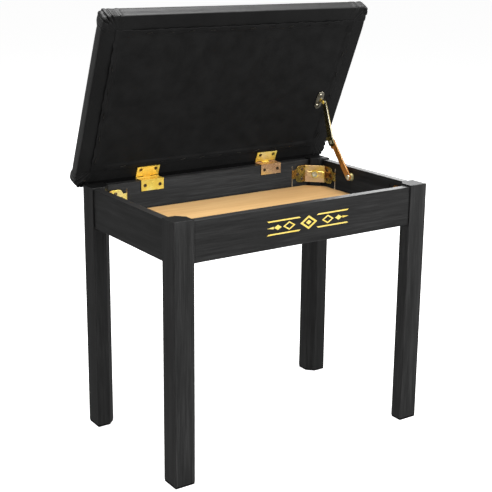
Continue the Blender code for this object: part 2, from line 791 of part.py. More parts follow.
def arm_outline(length, start_width, end_width):
    """A flat arm from the origin along +X with round ends."""
    near_radius, far_radius = start_width / 2, end_width / 2
    slope = math.asin((near_radius - far_radius) / length)
    quarter = math.pi / 2
    far = circle_points(length, 0, far_radius, 8, slope - quarter, math.pi - 2 * slope)
    near = circle_points(0, 0, near_radius, 8, quarter - slope, math.pi + 2 * slope)
    return far + near


def lie_across(piece, x):
    """Turns a plate made in its own XY into its parent's YZ, at X = x."""
    piece.matrix_local = Matrix(((0, 0, 1, x), (1, 0, 0, 0), (0, 1, 0, 0), (0, 0, 0, 1)))


def build_arm(name, pivot, target, x, widths, spec):
    """A stay arm at X = x on an empty at its pivot, with the empty's Y along the arm."""
    angle = math.atan2(target[1] - pivot[1], target[0] - pivot[0])
    length = math.dist(pivot, target)
    hub = empty(name + "_pivot", (0, pivot[0], pivot[1]), angle)
    holes = [(0, 0, PIVOT_HOLE), (length, 0, PIVOT_HOLE)]
    arm = plate(name, arm_outline(length, *widths), ARM_THICK, holes, spec, hub)
    lie_across(arm, x)
    return arm, hub, length


def build_stay():
    """The folding stay: the lower arm, the upper arm and the rivet at the knee between them."""
    wall = (FRAME_Y + STAY_WALL[0], STAY_WALL[1])
    knee = (FRAME_Y + STAY_KNEE[0], STAY_KNEE[1])
    lid_pivot = (
        PIN_Y - STAY_LID_REACH * math.cos(LID_OPEN) - STAY_LID_DROP * math.sin(LID_OPEN),
        PIN_Z + STAY_LID_REACH * math.sin(LID_OPEN) - STAY_LID_DROP * math.cos(LID_OPEN),
    )
    widths = (LOWER_ARM_WIDTH, LOWER_ARM_WIDTH)
    lower, lower_hub, lower_length = build_arm(
        "stay_lower_arm", wall, knee, LOWER_ARM_X, widths, COPPER
    )
    edge = LOWER_ARM_WIDTH / 2
    ear = plate(
        "stay_lower_ear",
        [
            (lower_length - EAR_START - EAR_WIDTH, 0.9 * -edge),
            (lower_length - EAR_START - EAR_WIDTH * 0.8, -edge - EAR_RISE),
            (lower_length - EAR_START - EAR_WIDTH * 0.2, -edge - EAR_RISE),
            (lower_length - EAR_START, 0.9 * -edge),
        ],
        ARM_THICK,
        parent=lower_hub,
    )
    lie_across(ear, LOWER_ARM_X)
    boolean(lower, ear, "UNION")

    upper, upper_hub, upper_length = build_arm(
        "stay_upper_arm", lid_pivot, knee, UPPER_ARM_X, UPPER_ARM_WIDTH, ZINC
    )
    edge = UPPER_ARM_WIDTH[1] / 2 - 2 * GAP
    ear_end = upper_length - EAR_START
    inner_face = UPPER_ARM_X - ARM_THICK / 2
    ear = box(
        "stay_upper_ear",
        (inner_face - EAR_RISE, ear_end - EAR_WIDTH, edge - EAR_THICK),
        (UPPER_ARM_X, ear_end, edge),
        parent=upper_hub,
    )
    boolean(upper, ear, "UNION")

    under = inner_face - GAP
    head = [
        (RIVET_SHOULDER, LOWER_ARM_X - ARM_THICK / 2 - GAP),
        (RIVET_SHOULDER, UPPER_ARM_X + ARM_THICK / 2 + GAP),
        (PIVOT_RADIUS, UPPER_ARM_X + ARM_THICK / 2 + GAP),
        (PIVOT_RADIUS, under),
        (RIVET_HEAD, under),
        (RIVET_HEAD * 0.85, under - RIVET_DOME * 0.6),
        (RIVET_HEAD * 0.45, under - RIVET_DOME),
    ]
    turned("stay_knee_rivet_head", head, (0, upper_length, 0), (1, 0, 0), STEEL, upper_hub)
    beyond = LOWER_ARM_X + ARM_THICK / 2 + GAP
    tail = [
        (RIVET_HEAD * 0.5, beyond + RIVET_DOME),
        (RIVET_HEAD * 0.9, beyond + RIVET_DOME * 0.6),
        (RIVET_HEAD * 0.9, beyond),
        (PIVOT_RADIUS, beyond),
        (PIVOT_RADIUS, LOWER_ARM_X - ARM_THICK / 2),
    ]
    turned("stay_knee_rivet_tail", tail, (0, lower_length, 0), (1, 0, 0), STEEL, lower_hub)
    return wall


def build_wall_boss(wall, apron):
    """The domed boss on the right apron, and the screw that holds it and the lower arm."""
    face = INNER_X - GAP
    crown = LOWER_ARM_X + ARM_THICK / 2 + GAP
    profile = [
        (0.0040, crown),
        (0.0062, crown + 0.0010),
        (0.0076, crown + 0.0030),
        (0.0080, face - 0.0010),
        (0.0080, face),
    ]
    boss = turned("stay_wall_boss", profile, (0, *wall), (1, 0, 0), STEEL)
    bore = cylinder("stay_wall_bore", (crown - 0.01, *wall), (face + 0.01, *wall), PIVOT_HOLE)
    boolean(boss, bore)
    head_face = LOWER_ARM_X - ARM_THICK / 2 - GAP
    end = INNER_X + 0.011
    screw_profile = [
        (0.0005, end),
        (PIVOT_RADIUS, end - 0.003),
        (PIVOT_RADIUS, head_face),
        (0.0050, head_face),
        (0.0046, head_face - 0.0009),
        (0.0032, head_face - 0.0017),
        (0.0015, head_face - 0.0020),
    ]
    pivot_screw = turned("stay_wall_screw", screw_profile, (0, *wall), (1, 0, 0), STEEL)
    for index in range(2):
        slot = box(
            f"stay_wall_screw_slot_{index}",
            (head_face - 0.004, -0.0028, -0.0004),
            (head_face - 0.0011, 0.0028, 0.0004),
        )
        slot.location = (slot.location.x, *wall)
        slot.rotation_euler = (math.radians(30 + 90 * index), 0, 0)
        boolean(pivot_screw, slot)
    hole = cylinder("stay_wall_hole", (INNER_X - 0.004, *wall), (end + 0.001, *wall), PIVOT_HOLE)
    boolean(apron, hole)


def build():
    build_legs()
    build_feet()
    build_long_apron("front_apron", -1)
    back_apron = build_long_apron("back_apron", 1)
    build_short_apron("left_apron", -1)
    right_apron = build_short_apron("right_apron", 1)
    build_panel()
    build_brackets()
    build_corner_bolts()
    lid = empty("lid_hinge_axis", (0, PIN_Y, PIN_Z), -LID_OPEN)
    board, cover, dust = build_lid(lid)
    for label, middle_x in (("left", -HINGE_X), ("right", HINGE_X)):
        build_frame_leaf(f"{label}_hinge_frame_leaf", middle_x, back_apron)
        build_pin(f"{label}_hinge_pin", middle_x)
        build_lid_leaf(f"{label}_hinge_lid_leaf", middle_x, lid, [board, cover])
    build_stay_lid_plate(lid, board, dust)
    wall = build_stay()
    build_wall_boss(wall, right_apron)


build()
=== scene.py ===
"""Looks for a storage piano bench: film-faced frame, upholstered lid, plated hardware.

Lengths are metres. The lid's soft pieces are made as if the lid were closed, about its hinge
pin (x along the bench, y to the back, z up), and then turned to the open lid.
"""

import json
import math
import random

import bmesh
import bpy
from mathutils import Matrix, Vector, noise


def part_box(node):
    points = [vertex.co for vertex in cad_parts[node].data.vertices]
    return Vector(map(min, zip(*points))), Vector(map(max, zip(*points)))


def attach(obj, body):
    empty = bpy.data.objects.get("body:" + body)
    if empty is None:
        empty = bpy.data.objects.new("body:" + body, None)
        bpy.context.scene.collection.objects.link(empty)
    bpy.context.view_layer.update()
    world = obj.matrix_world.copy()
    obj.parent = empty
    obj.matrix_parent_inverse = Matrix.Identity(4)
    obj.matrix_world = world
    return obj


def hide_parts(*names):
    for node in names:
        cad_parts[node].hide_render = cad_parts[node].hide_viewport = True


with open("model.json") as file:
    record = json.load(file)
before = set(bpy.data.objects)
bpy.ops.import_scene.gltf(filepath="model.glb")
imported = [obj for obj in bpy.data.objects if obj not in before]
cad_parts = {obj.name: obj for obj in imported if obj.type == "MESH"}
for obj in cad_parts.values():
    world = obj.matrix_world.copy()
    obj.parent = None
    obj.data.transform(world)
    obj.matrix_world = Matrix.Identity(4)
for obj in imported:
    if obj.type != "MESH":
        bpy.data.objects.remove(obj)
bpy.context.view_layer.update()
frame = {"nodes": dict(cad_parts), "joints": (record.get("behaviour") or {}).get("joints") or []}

NODES = frame["nodes"]
CORNERS = {"back_right": (1, 1), "back_left": (-1, 1), "front_left": (-1, -1), "front_right": (1, -1)}

LID_JOINT = next(joint for joint in frame["joints"] if joint["name"] == "lid_hinge")
PIN = Vector(LID_JOINT["pos_m"])
UP = Vector((0, 0, 1))
LID_OPEN = math.radians(LID_JOINT["range_deg"][1])
LID = Matrix.Translation(PIN) @ Matrix.Rotation(-LID_OPEN, 4, "X")

INNER_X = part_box("right_apron")[0].x
BACK_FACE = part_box("back_apron")[0].y  # inner face of the back apron
FRONT_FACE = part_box("front_apron")[1].y  # inner face of the front apron
MIDDLE_Y = (BACK_FACE + FRONT_FACE) / 2
INNER_Y = (BACK_FACE - FRONT_FACE) / 2
APRON_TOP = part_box("front_apron")[1].z
LEG_BOXES = [[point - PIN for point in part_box(f"leg_{corner}")] for corner in CORNERS]


def lid_box(node):
    """Lowest and highest corner of a lid node with the lid closed, about the pin."""
    back = LID.inverted()
    points = [back @ vert.co for vert in NODES[node].data.vertices]
    low = Vector([min(point[axis] for point in points) for axis in range(3)])
    high = Vector([max(point[axis] for point in points) for axis in range(3)])
    return low, high


# ---------------- meshes


def add_object(name, data):
    """A new object in the scene, from its mesh, light or camera."""
    obj = bpy.data.objects.new(name, data)
    bpy.context.scene.collection.objects.link(obj)
    return obj


def finished_mesh(name, bm):
    """A mesh from a bmesh, its faces turned outward."""
    bmesh.ops.recalc_face_normals(bm, faces=bm.faces)
    mesh = bpy.data.meshes.new(name)
    bm.to_mesh(mesh)
    bm.free()
    return mesh


def mesh_object(name, bm, material, body, smooth_angle=40.0):
    """A piece from a bmesh, riding on a body."""
    mesh = finished_mesh(name, bm)
    mesh.shade_smooth()
    mesh.set_sharp_from_angle(angle=math.radians(smooth_angle))
    mesh.materials.append(material)
    obj = add_object(name, mesh)
    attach(obj, body)
    return obj


def add_rings(bm, rings, closed=True, caps=False):
    """Quads between rings, or open rows, of points that all have the same count."""
    made = [[bm.verts.new(point) for point in ring] for ring in rings]
    count = len(made[0])
    for first, second in zip(made, made[1:]):
        for index in range(count if closed else count - 1):
            after = (index + 1) % count
            bm.faces.new((first[index], first[after], second[after], second[index]))
    if caps:
        bm.faces.new(made[0])
        bm.faces.new(made[-1])
    return made


def basis(normal):
    """Two unit vectors at right angles to a normal."""
    side = UP if abs(normal.z) < 0.9 else Vector((0, 1, 0))
    first = side.cross(normal).normalized()
    return first, normal.cross(first).normalized()


def add_screw_head(bm, centre, normal, radius, height, turn):
    """A low domed head with a cross recess, as a grid pulled into a disc."""
    first, second = basis(normal)
    across = first * math.cos(turn) + second * math.sin(turn)
    along = second * math.cos(turn) - first * math.sin(turn)
    steps = [-1.0, -0.8, -0.62, -0.42, -0.24, -0.17, 0.0, 0.17, 0.24, 0.42, 0.62, 0.8, 1.0]
    grid = []
    for u in steps:
        row = []
        for v in steps:
            x, y = u * math.sqrt(1 - v * v / 2), v * math.sqrt(1 - u * u / 2)
            reach = min(1.0, math.hypot(x, y))
            rise = height * math.sqrt(max(0.0, 1 - reach**3))
            if min(abs(u), abs(v)) < 0.18 and max(abs(u), abs(v)) < 0.65:
                rise -= height * 0.9 * (1.1 - reach)
            row.append(centre + (across * x + along * y) * radius + normal * rise)
        grid.append(row)
    add_rings(bm, grid, closed=False)


# ---------------- materials


def fill(node, **values):
    """Plain values on a shader node's sockets."""
    for key, value in values.items():
        node.inputs[key.replace("_", " ")].default_value = value


class Shader:
    """A Principled material with a few helpers for noise, ramps and bumps."""

    def __init__(self, name):
        self.material = bpy.data.materials.new(name)
        self.material.use_nodes = True
        self.tree = self.material.node_tree
        self.principled = self.tree.nodes["Principled BSDF"]
        self.coordinates = self.tree.nodes.new("ShaderNodeTexCoord").outputs["Object"]

    def node(self, kind, **values):
        made = self.tree.nodes.new(kind)
        for key, value in values.items():
            setattr(made, key, value)
        return made

    def link(self, output, target):
        self.tree.links.new(output, target)

    def put(self, **values):
        fill(self.principled, **values)

    def axes(self, vector):
        """The X, Y and Z of a vector."""
        split = self.node("ShaderNodeSeparateXYZ")
        self.link(vector, split.inputs[0])
        return split.outputs

    def scaled(self, scale):
        """Object coordinates times a scale, one for all axes or one for each, per metre."""
        mapping = self.node("ShaderNodeMapping")
        fill(mapping, Scale=scale if isinstance(scale, tuple) else (scale,) * 3)
        self.link(self.coordinates, mapping.inputs["Vector"])
        return mapping.outputs["Vector"]

    def noise(self, scale, detail=3.0, roughness=0.55, distortion=0.0):
        texture = self.node("ShaderNodeTexNoise")
        fill(texture, Scale=1.0, Detail=detail, Roughness=roughness, Distortion=distortion)
        self.link(self.scaled(scale), texture.inputs["Vector"])
        return texture.outputs["Fac"]

    def cells(self, scale):
        texture = self.node("ShaderNodeTexVoronoi", feature="F1")
        fill(texture, Scale=1.0)
        self.link(self.scaled(scale), texture.inputs["Vector"])
        return texture.outputs["Distance"]

    def ramp(self, value, stops):
        """A colour ramp: stops are (position, grey or colour)."""
        ramp = self.node("ShaderNodeValToRGB").color_ramp
        for index, (position, colour) in enumerate(stops):
            element = ramp.elements[index] if index < 2 else ramp.elements.new(position)
            element.position = position
            colour = colour if isinstance(colour, tuple) else (colour,) * 3
            element.color = (*colour, 1)
        made = self.tree.nodes[-1]
        self.link(value, made.inputs["Fac"])
        return made.outputs["Color"]

    def math(self, operation, first, second):
        made = self.node("ShaderNodeMath", operation=operation)
        for socket, value in zip(made.inputs, (first, second)):
            if isinstance(value, (int, float)):
                socket.default_value = value
            else:
                self.link(value, socket)
        return made.outputs[0]

    def mix(self, fac, first, second):
        made = self.node("ShaderNodeMix", data_type="RGBA")
        sockets = (made.inputs[0], made.inputs[6], made.inputs[7])
        for socket, value in zip(sockets, (fac, first, second)):
            if isinstance(value, tuple):
                socket.default_value = (*value, 1)
            elif isinstance(value, float):
                socket.default_value = value
            else:
                self.link(value, socket)
        return made.outputs[2]

    def crevice_shade(self, distance):
        """Painted shade: 1 on open surfaces, falling to 0 in the joins and creases between pieces, where
        they shut out the light.
        """
        occlusion = self.node("ShaderNodeAmbientOcclusion", samples=8)
        fill(occlusion, Distance=distance)
        return self.math("POWER", occlusion.outputs["AO"], 1.6)

    def colour(self, output):
        self.link(output, self.principled.inputs["Base Color"])

    def roughness(self, value, low, high):
        """Roughness between two values, following a 0 to 1 pattern."""
        spread = self.node("ShaderNodeMapRange")
        fill(spread, To_Min=low, To_Max=high)
        self.link(value, spread.inputs["Value"])
        self.link(spread.outputs["Result"], self.principled.inputs["Roughness"])

    def bump(self, height, distance, strength=1.0):
        """Adds a bump on top of those already there."""
        made = self.node("ShaderNodeBump")
        fill(made, Distance=distance, Strength=strength)
        self.link(height, made.inputs["Height"])
        target = self.principled.inputs["Normal"]
        if target.links:
            self.link(target.links[0].from_socket, made.inputs["Normal"])
        self.link(made.outputs["Normal"], target)


def along(axis, lengthwise, crosswise):
    """A texture scale that is stretched along one axis."""
    return tuple(lengthwise if index == axis else crosswise for index in range(3))


def film_material(name, axis, tone, top, kerf=None):
    """Black film printed and pressed with wood grain along one axis.

    tone scales the print's grey; it differs between copies of the one film to paint light and shade,
    lighter where the pieces should look better lit and darker where they should look shaded. top is the
    grey of the faces that look up. kerf is (axis, middle, distance, reach): the saw kerfs' walls show raw
    board, at that distance from the middle along the axis and within reach of the centre line; on short
    boards, at the back only.
    """
    shader = Shader(name)
    broad = shader.noise(along(axis, 6.0, 150.0), 4.0, 0.6, 0.4)
    fine = shader.noise(along(axis, 18.0, 800.0), 3.0, 0.6)
    pattern = shader.math("MULTIPLY", broad, 0.45)
    pattern = shader.math("ADD", pattern, shader.math("MULTIPLY", fine, 0.55))
    stops = ((0.36, 0.0068), (0.50, 0.0138), (0.66, 0.029))
    grain = shader.ramp(pattern, [(position, grey * tone) for position, grey in stops])
    facing = shader.axes(shader.node("ShaderNodeNewGeometry").outputs["Normal"])
    looks_up = shader.math("GREATER_THAN", facing[2], 0.9)
    grain = shader.mix(looks_up, grain, (top,) * 3)
    matt = shader.math("MULTIPLY", looks_up, 2.5 if axis == 2 else 0.0)  # the legs' sawn ends
    shader.roughness(shader.math("ADD", fine, matt), 0.36, 0.52)
    shader.put(Specular_IOR_Level=0.32)
    shader.bump(fine, 0.00025, 0.35)
    shader.bump(broad, 0.0006, 0.12)
    # painted shade: the film is darkened where pieces meet, as if shaded there
    grain = shader.mix(shader.crevice_shade(0.006), (0.0015, 0.0015, 0.0015), grain)
    if kerf is None:
        shader.colour(grain)
        return shader.material
    kerf_axis, middle, distance, reach = kerf
    place = shader.axes(shader.coordinates)
    along_wall = shader.math("SUBTRACT", place[kerf_axis], middle)
    if kerf_axis == 0:
        along_wall = shader.math("ABSOLUTE", along_wall, 0.0)
    near = shader.math("COMPARE", along_wall, distance)
    near.node.inputs[2].default_value = KERF_HALF
    across = shader.math("SUBTRACT", place[1 - kerf_axis], 0.0 if kerf_axis else MIDDLE_Y)
    inside = shader.math("LESS_THAN", shader.math("ABSOLUTE", across, 0.0), reach)
    below = shader.math("LESS_THAN", place[2], APRON_TOP - KERF_TOP)
    mask = shader.math("MULTIPLY", near, shader.math("MULTIPLY", inside, below))
    fibres = shader.noise(420, 3.0)
    raw = shader.ramp(fibres, ((0.3, (0.36, 0.27, 0.17)), (0.7, (0.62, 0.50, 0.36))))
    shader.colour(shader.mix(mask, grain, raw))
    return shader.material


def leather_material(name, tone, specular=0.45):
    """Black faux leather: pebbled grain, a soft sheen and slow changes of tone."""
    shader = Shader(name)
    drift = shader.noise(9, 3.0, 0.5)
    pebble = shader.cells(950)
    crease = shader.noise(120, 5.0, 0.62, 0.6)
    skin = shader.ramp(drift, ((0.35, tone * 0.8), (0.65, tone * 1.25)))
    # painted shade: the leather is darkened in its creases and folds and where it meets other pieces
    shader.colour(shader.mix(shader.crevice_shade(0.009), (0.0008, 0.0008, 0.0008), skin))
    shader.roughness(crease, 0.36, 0.50)
    shader.put(Specular_IOR_Level=specular, Sheen_Weight=0.04, Sheen_Roughness=0.5)
    shader.bump(drift, 0.004, 0.25)
    shader.bump(crease, 0.0007, 0.30)
    shader.bump(pebble, 0.00025, 0.30)
    return shader.material


def backing_material(name):
    """Thin black backing sheet, slightly glossy, with a woven texture too fine to count."""
    shader = Shader(name)
    drift = shader.noise(7, 4.0, 0.6)
    cloud = shader.noise(38, 3.0, 0.6)
    weave = shader.noise(1500, 1.0)
    shader.colour(shader.ramp(cloud, ((0.30, 0.0046), (0.70, 0.0080))))
    shader.roughness(cloud, 0.44, 0.58)
    shader.put(Specular_IOR_Level=0.16)
    shader.bump(drift, 0.006, 0.35)
    shader.bump(cloud, 0.0012, 0.25)
    shader.bump(weave, 0.0001, 0.35)
    return shader.material


def panel_material(name):
    """Bare thin panel: pale tan with fine grain along the bench, and painted shade that makes it darker
    to the right.
    """
    shader = Shader(name)
    broad = shader.noise((5, 60, 60), 4.0, 0.6, 0.8)
    fine = shader.noise((16, 620, 620), 3.0, 0.6)
    pattern = shader.math("MULTIPLY", shader.math("ADD", broad, fine), 0.5)
    stops = ((0.34, (0.76, 0.45, 0.180)), (0.52, (0.88, 0.55, 0.235)), (0.68, (0.94, 0.62, 0.29)))
    grain = shader.ramp(pattern, stops)
    # painted shade: the tone falls towards the right end, where the right apron shuts out the light
    darker = shader.node("ShaderNodeMapRange")
    fill(darker, From_Min=-0.05, From_Max=0.25, To_Max=0.45)
    shader.link(shader.axes(shader.coordinates)[0], darker.inputs["Value"])
    shader.colour(shader.mix(darker.outputs["Result"], grain, (0.42, 0.23, 0.085)))
    shader.roughness(fine, 0.50, 0.66)
    shader.bump(fine, 0.0002, 0.25)
    return shader.material


def plating_material(name, tints, scale=55.0, roughness=(0.20, 0.34), metallic=1.0):
    """Passivated zinc plating, whose tint drifts across the surface."""
    shader = Shader(name)
    drift = shader.noise(scale, 1.5, 0.45, 0.6)
    speck = shader.noise(180, 2.0)
    stops = [(0.30 + 0.40 * index / (len(tints) - 1), tint) for index, tint in enumerate(tints)]
    shader.colour(shader.ramp(drift, stops))
    shader.roughness(speck, *roughness)
    shader.put(Metallic=metallic)
    shader.bump(speck, 0.0001, 0.04)
    return shader.material


def gilt_material(name):
    """Thin gold-coloured foil."""
    shader = Shader(name)
    drift = shader.noise(60, 2.0)
    shader.colour(shader.ramp(drift, ((0.3, (0.86, 0.62, 0.10)), (0.7, (0.93, 0.74, 0.22)))))
    shader.put(Metallic=0.35, Roughness=0.38)
    return shader.material


def rubber_material(name):
    """Matt black rubber."""
    shader = Shader(name)
    speck = shader.noise(1400, 2.0)
    shader.colour(shader.ramp(speck, ((0.3, 0.0010), (0.7, 0.0026))))
    shader.roughness(speck, 0.75, 0.95)
    shader.put(Specular_IOR_Level=0.1)
    shader.bump(speck, 0.0002, 0.4)
    return shader.material


def board_material(name):
    """Raw board, made of small wood chips."""
    shader = Shader(name)
    chips = shader.cells(260)
    shader.colour(shader.ramp(chips, ((0.1, (0.30, 0.19, 0.10)), (0.8, (0.55, 0.38, 0.22)))))
    shader.put(Roughness=0.85)
    shader.bump(chips, 0.0003, 0.3)
    return shader.material


KERF = 0.0595  # kerf's middle from the aprons' inner corner
KERF_BACK = 0.0085  # how far the kerf reaches past the inner face
KERF_HALF = 0.00125  # half width, walls included
KERF_TOP = 0.0112  # from the apron's top edge down to the kerf's bare walls

# One black film in five copies whose tones paint light and shade: the back apron's copy is lighter, the
# rear legs' copy is darker, and the front and end aprons' copies are a little darker than the front
# legs'.
LONG_KERFS = (0, 0.0, INNER_X - KERF, INNER_Y + KERF_BACK)
FILM_FRONT = film_material("film_front", 0, 0.74, 0.022, LONG_KERFS)
FILM_BACK_LIT = film_material("film_back_painted_light", 0, 1.25, 0.022, LONG_KERFS)
SHORT_KERFS = (1, MIDDLE_Y, INNER_Y - KERF, INNER_X + KERF_BACK)
FILM_SHORT = film_material("film_short", 1, 0.78, 0.022, SHORT_KERFS)
FILM_LEG = film_material("film_upright", 2, 0.95, 0.003)
FILM_REAR_LEG_SHADED = film_material("film_rear_leg_painted_shade", 2, 0.68, 0.003)
LEATHER = leather_material("faux_leather", 0.0105)
# the flap turned in under the board takes a darker, less glossy copy of the leather: painted shade
SHADED_TURNED_LEATHER = leather_material("faux_leather_turned_in_shaded", 0.0046, specular=0.16)
# a strip along the hinge side's lower edge takes a near-black copy of the leather: painted shade for the
# gap under the lid
HINGE_SHADE_LEATHER = leather_material("faux_leather_painted_hinge_shade", 0.0015, specular=0.05)
BACKING = backing_material("backing_sheet")
PANEL = panel_material("bare_panel")
GOLD = (0.93, 0.62, 0.09)
PALE_GOLD = (0.98, 0.80, 0.36)
ZINC = plating_material(
    "yellow_zinc", ((0.94, 0.66, 0.13), GOLD, (0.98, 0.74, 0.14), PALE_GOLD), 24.0, (0.22, 0.30), 0.45
)
BRACKET_ZINC = plating_material(
    "bracket_zinc", ((0.90, 0.50, 0.28), (0.96, 0.62, 0.26), (0.96, 0.58, 0.08)), 30.0, (0.14, 0.22), 0.60
)
# the plates' flanges take a darker copy of the plating than their webs: painted shade and dark reflection
FLANGE_ZINC_SHADED = plating_material(
    "flange_zinc_painted_shade",
    ((0.16, 0.06, 0.02), (0.48, 0.22, 0.04), (0.30, 0.22, 0.05), (0.85, 0.52, 0.10)),
    48.0,
    metallic=0.75,
)
ROSE_ZINC = plating_material(
    "rose_zinc", ((0.42, 0.22, 0.11), (0.66, 0.40, 0.20), (0.86, 0.50, 0.16)), 16.0, (0.25, 0.29), 0.55
)
PALE_ZINC = plating_material(
    "pale_zinc", (PALE_GOLD, (0.92, 0.90, 0.72), PALE_GOLD), 90.0, metallic=0.75
)
OLIVE_ZINC = plating_material(
    "olive_zinc", ((0.10, 0.08, 0.03), (0.24, 0.20, 0.08), (0.42, 0.32, 0.12)), 26.0, metallic=0.9
)
# the stay arms' rolled rims take paler copies of the arms' plating: painted highlights
COPPER_RIM = plating_material(
    "copper_rim_painted_highlight", ((0.80, 0.42, 0.16), (0.95, 0.66, 0.36)), 60.0, metallic=0.8
)
RIM = plating_material("rim_zinc_painted_highlight", ((0.62, 0.56, 0.40), (0.92, 0.88, 0.74)), 60.0, metallic=0.8)
COPPER = plating_material(
    "copper_zinc", ((0.50, 0.19, 0.03), (0.82, 0.31, 0.06), (0.84, 0.40, 0.13)), 30.0, (0.24, 0.34), 0.6
)
BOLT = plating_material("bolt_zinc", ((0.62, 0.50, 0.28), (0.92, 0.86, 0.60)), 90.0, metallic=0.5)
BOSS = plating_material("boss_zinc", ((0.26, 0.22, 0.08), (0.66, 0.56, 0.28)), 90.0, metallic=0.6)
STEEL = plating_material("bright_steel", ((0.36, 0.33, 0.25), (0.66, 0.62, 0.50)), 90.0)
DARK_SCREW = plating_material(
    "dark_screw", ((0.07, 0.045, 0.03), (0.22, 0.15, 0.09)), 400.0, (0.30, 0.45)
)
STAPLE = plating_material(
    "staple_wire", ((0.03, 0.03, 0.03), (0.16, 0.15, 0.13)), 60.0, (0.25, 0.4)
)
GILT = gilt_material("gilt")
RUBBER = rubber_material("foot_rubber")
BOARD = board_material("raw_board")


def dress_nodes():
    """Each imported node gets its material."""
    choices = (
        ("leg_back", FILM_REAR_LEG_SHADED),
        ("leg_", FILM_LEG),
        ("front_apron", FILM_FRONT),
        ("back_apron", FILM_BACK_LIT),
        ("left_apron", FILM_SHORT),
        ("right_apron", FILM_SHORT),
        ("bottom_panel", PANEL),
        ("foot_pad", RUBBER),
        ("washer_", ZINC),
        ("hex_nut_", PALE_ZINC),
        ("hanger_bolt_", BOLT),
        ("corner_bracket_", BRACKET_ZINC),
        ("stay_lid_rivet", ZINC),
        ("stay_knee_rivet", PALE_ZINC),
        ("stay_wall_boss", BOSS),
        ("stay_wall_screw", PALE_ZINC),
        ("stay_upper_arm", OLIVE_ZINC),
        ("stay_lower_arm", COPPER),
        ("stay_", STEEL),
        ("lid_board", BOARD),
        ("foam_pad", LEATHER),
        ("seat_cover", LEATHER),
        ("dust_cover", BACKING),
    )
    for name, node in NODES.items():
        chosen = next((found for start, found in choices if name.startswith(start)), None)
        if "_leaf_screw_" in name:
            chosen = DARK_SCREW
        elif name.endswith("_leaf"):
            chosen = ROSE_ZINC if name == "right_hinge_frame_leaf" else ZINC
        elif name.endswith("_pin"):
            chosen = STEEL
        node.data.materials.clear()
        node.data.materials.append(chosen)
    # The black pieces round the bare panel show no warm cast from it.
    NODES["bottom_panel"].visible_diffuse = False
    NODES["bottom_panel"].visible_glossy = False


# ---------------- upholstery

PAD_LOW, PAD_HIGH = lid_box("seat_cover")
PAD_HALF = (PAD_HIGH - PAD_LOW) / 2
PAD_MIDDLE_Y = (PAD_HIGH.y + PAD_LOW.y) / 2
BOARD_BOX = lid_box("lid_board")
FLAP = 0.028  # the cover turned in under the board
FLAP_OVERLAP = 0.004  # how much of the flap lies hidden above the backing sheet
PAD_CORNER = 0.0125  # outline radius at the pad's corners
PAD_ROUND = 0.0225  # radius between the sides and the top
PAD_TOP = PAD_LOW.z + 0.036  # before it is crowned
CROWN = 0.0045
CLOTH_FRAMES = 20
TOP_RISE = 0.004  # the most that the simulation may add
TOP_GRID_INSET = 0.036  # where the top's square grid meets the rings round the edge
BEND = 0.0022  # radius at the lower edge
SHADE_STRIP = 0.005  # width of the shaded strip along the hinge side
SHOULDER = 0.0052  # how far the long sides' shoulders swell, at the bench's middle
SHOULDER_TO_LEFT = 0.0045  # and how much more for each metre to the left
SHOULDER_FADE = 0.012  # how far down the side the swelling reaches
PLEATS = 5
BOARD_CORNER = 0.040
BOARD_EDGE = 0.001
PLEAT_TOP = 0.030  # how far up the side the folds reach
PLEAT_SLIT = 0.0010  # half width of the creases between them
SMOOTHED = 0.045  # the folds are rounded this far from the corners
LIP = 0.0040  # how far the lower edge hangs out along the hinge side


def spaced(length, fine, coarse):
    """Positions from 0 to length, close together near both ends."""
    steps = [fine]
    while sum(steps) < length / 2 and steps[-1] < coarse:
        steps.append(steps[-1] * 1.08)
    left = length - 2 * sum(steps)
    middle = max(1, round(left / coarse))
    sizes = steps + [left / middle] * middle + steps[::-1]
    positions = [0.0]
    for size in sizes:
        positions.append(positions[-1] + size)
    return positions


def pad_profile():
    """Rings from the top grid's edge outward, down the side and in under the board.

    Each is (inset from the outline, height, how far the corner radius has grown).
    """
    rings = []
    for step in range(1, 6):
        share = step / 5
        inset = TOP_GRID_INSET + (PAD_ROUND - TOP_GRID_INSET) * share
        rings.append((inset, PAD_TOP, share * 0.4))
    for step in range(1, 10):
        turn = math.pi / 2 * step / 9
        inset = PAD_ROUND * (1 - math.sin(turn))
        rings.append((inset, PAD_TOP - PAD_ROUND * (1 - math.cos(turn)), 0.4 + 0.6 * step / 9))
    low = PAD_LOW.z + BEND
    high = PAD_TOP - PAD_ROUND
    for step in range(1, 6):
        rings.append((0.0, high + (low - high) * step / 5, 1.0))
    for step in range(1, 6):
        turn = math.pi / 2 * step / 5
        rings.append((BEND * (1 - math.cos(turn)), low - BEND * math.sin(turn), 1.0))
    for step in range(1, 14):
        rings.append((BEND + (FLAP + FLAP_OVERLAP - BEND) * step / 13, PAD_LOW.z, 1.0))
    return rings


NO_STEPS = [0.0, 1.0]  # a straight side with no points between its ends


def pad_outline(half_x, half_y, radius, xs, ys, corner_steps):
    """Points round a rectangle with round corners, starting at its back right corner's arc.

    xs and ys are the positions of the points along its long and short sides.
    """
    points = []
    span_x, span_y = half_x - radius, half_y - radius
    scale_x, scale_y = span_x / xs[-1] * 2, span_y / ys[-1] * 2
    for corner, (sign_x, sign_y) in enumerate(((1, 1), (-1, 1), (-1, -1), (1, -1))):
        for step in range(corner_steps + 1):
            turn = math.pi / 2 * (corner + step / corner_steps)
            x = sign_x * span_x + radius * math.cos(turn)
            y = sign_y * span_y + radius * math.sin(turn)
            points.append((x, y))
        if corner % 2 == 0:
            points += [(sign_x * (span_x - at * scale_x), sign_y * half_y) for at in xs[1:-1]]
        else:
            points += [(sign_x * half_x, sign_y * (span_y - at * scale_y)) for at in ys[1:-1]]
    return points


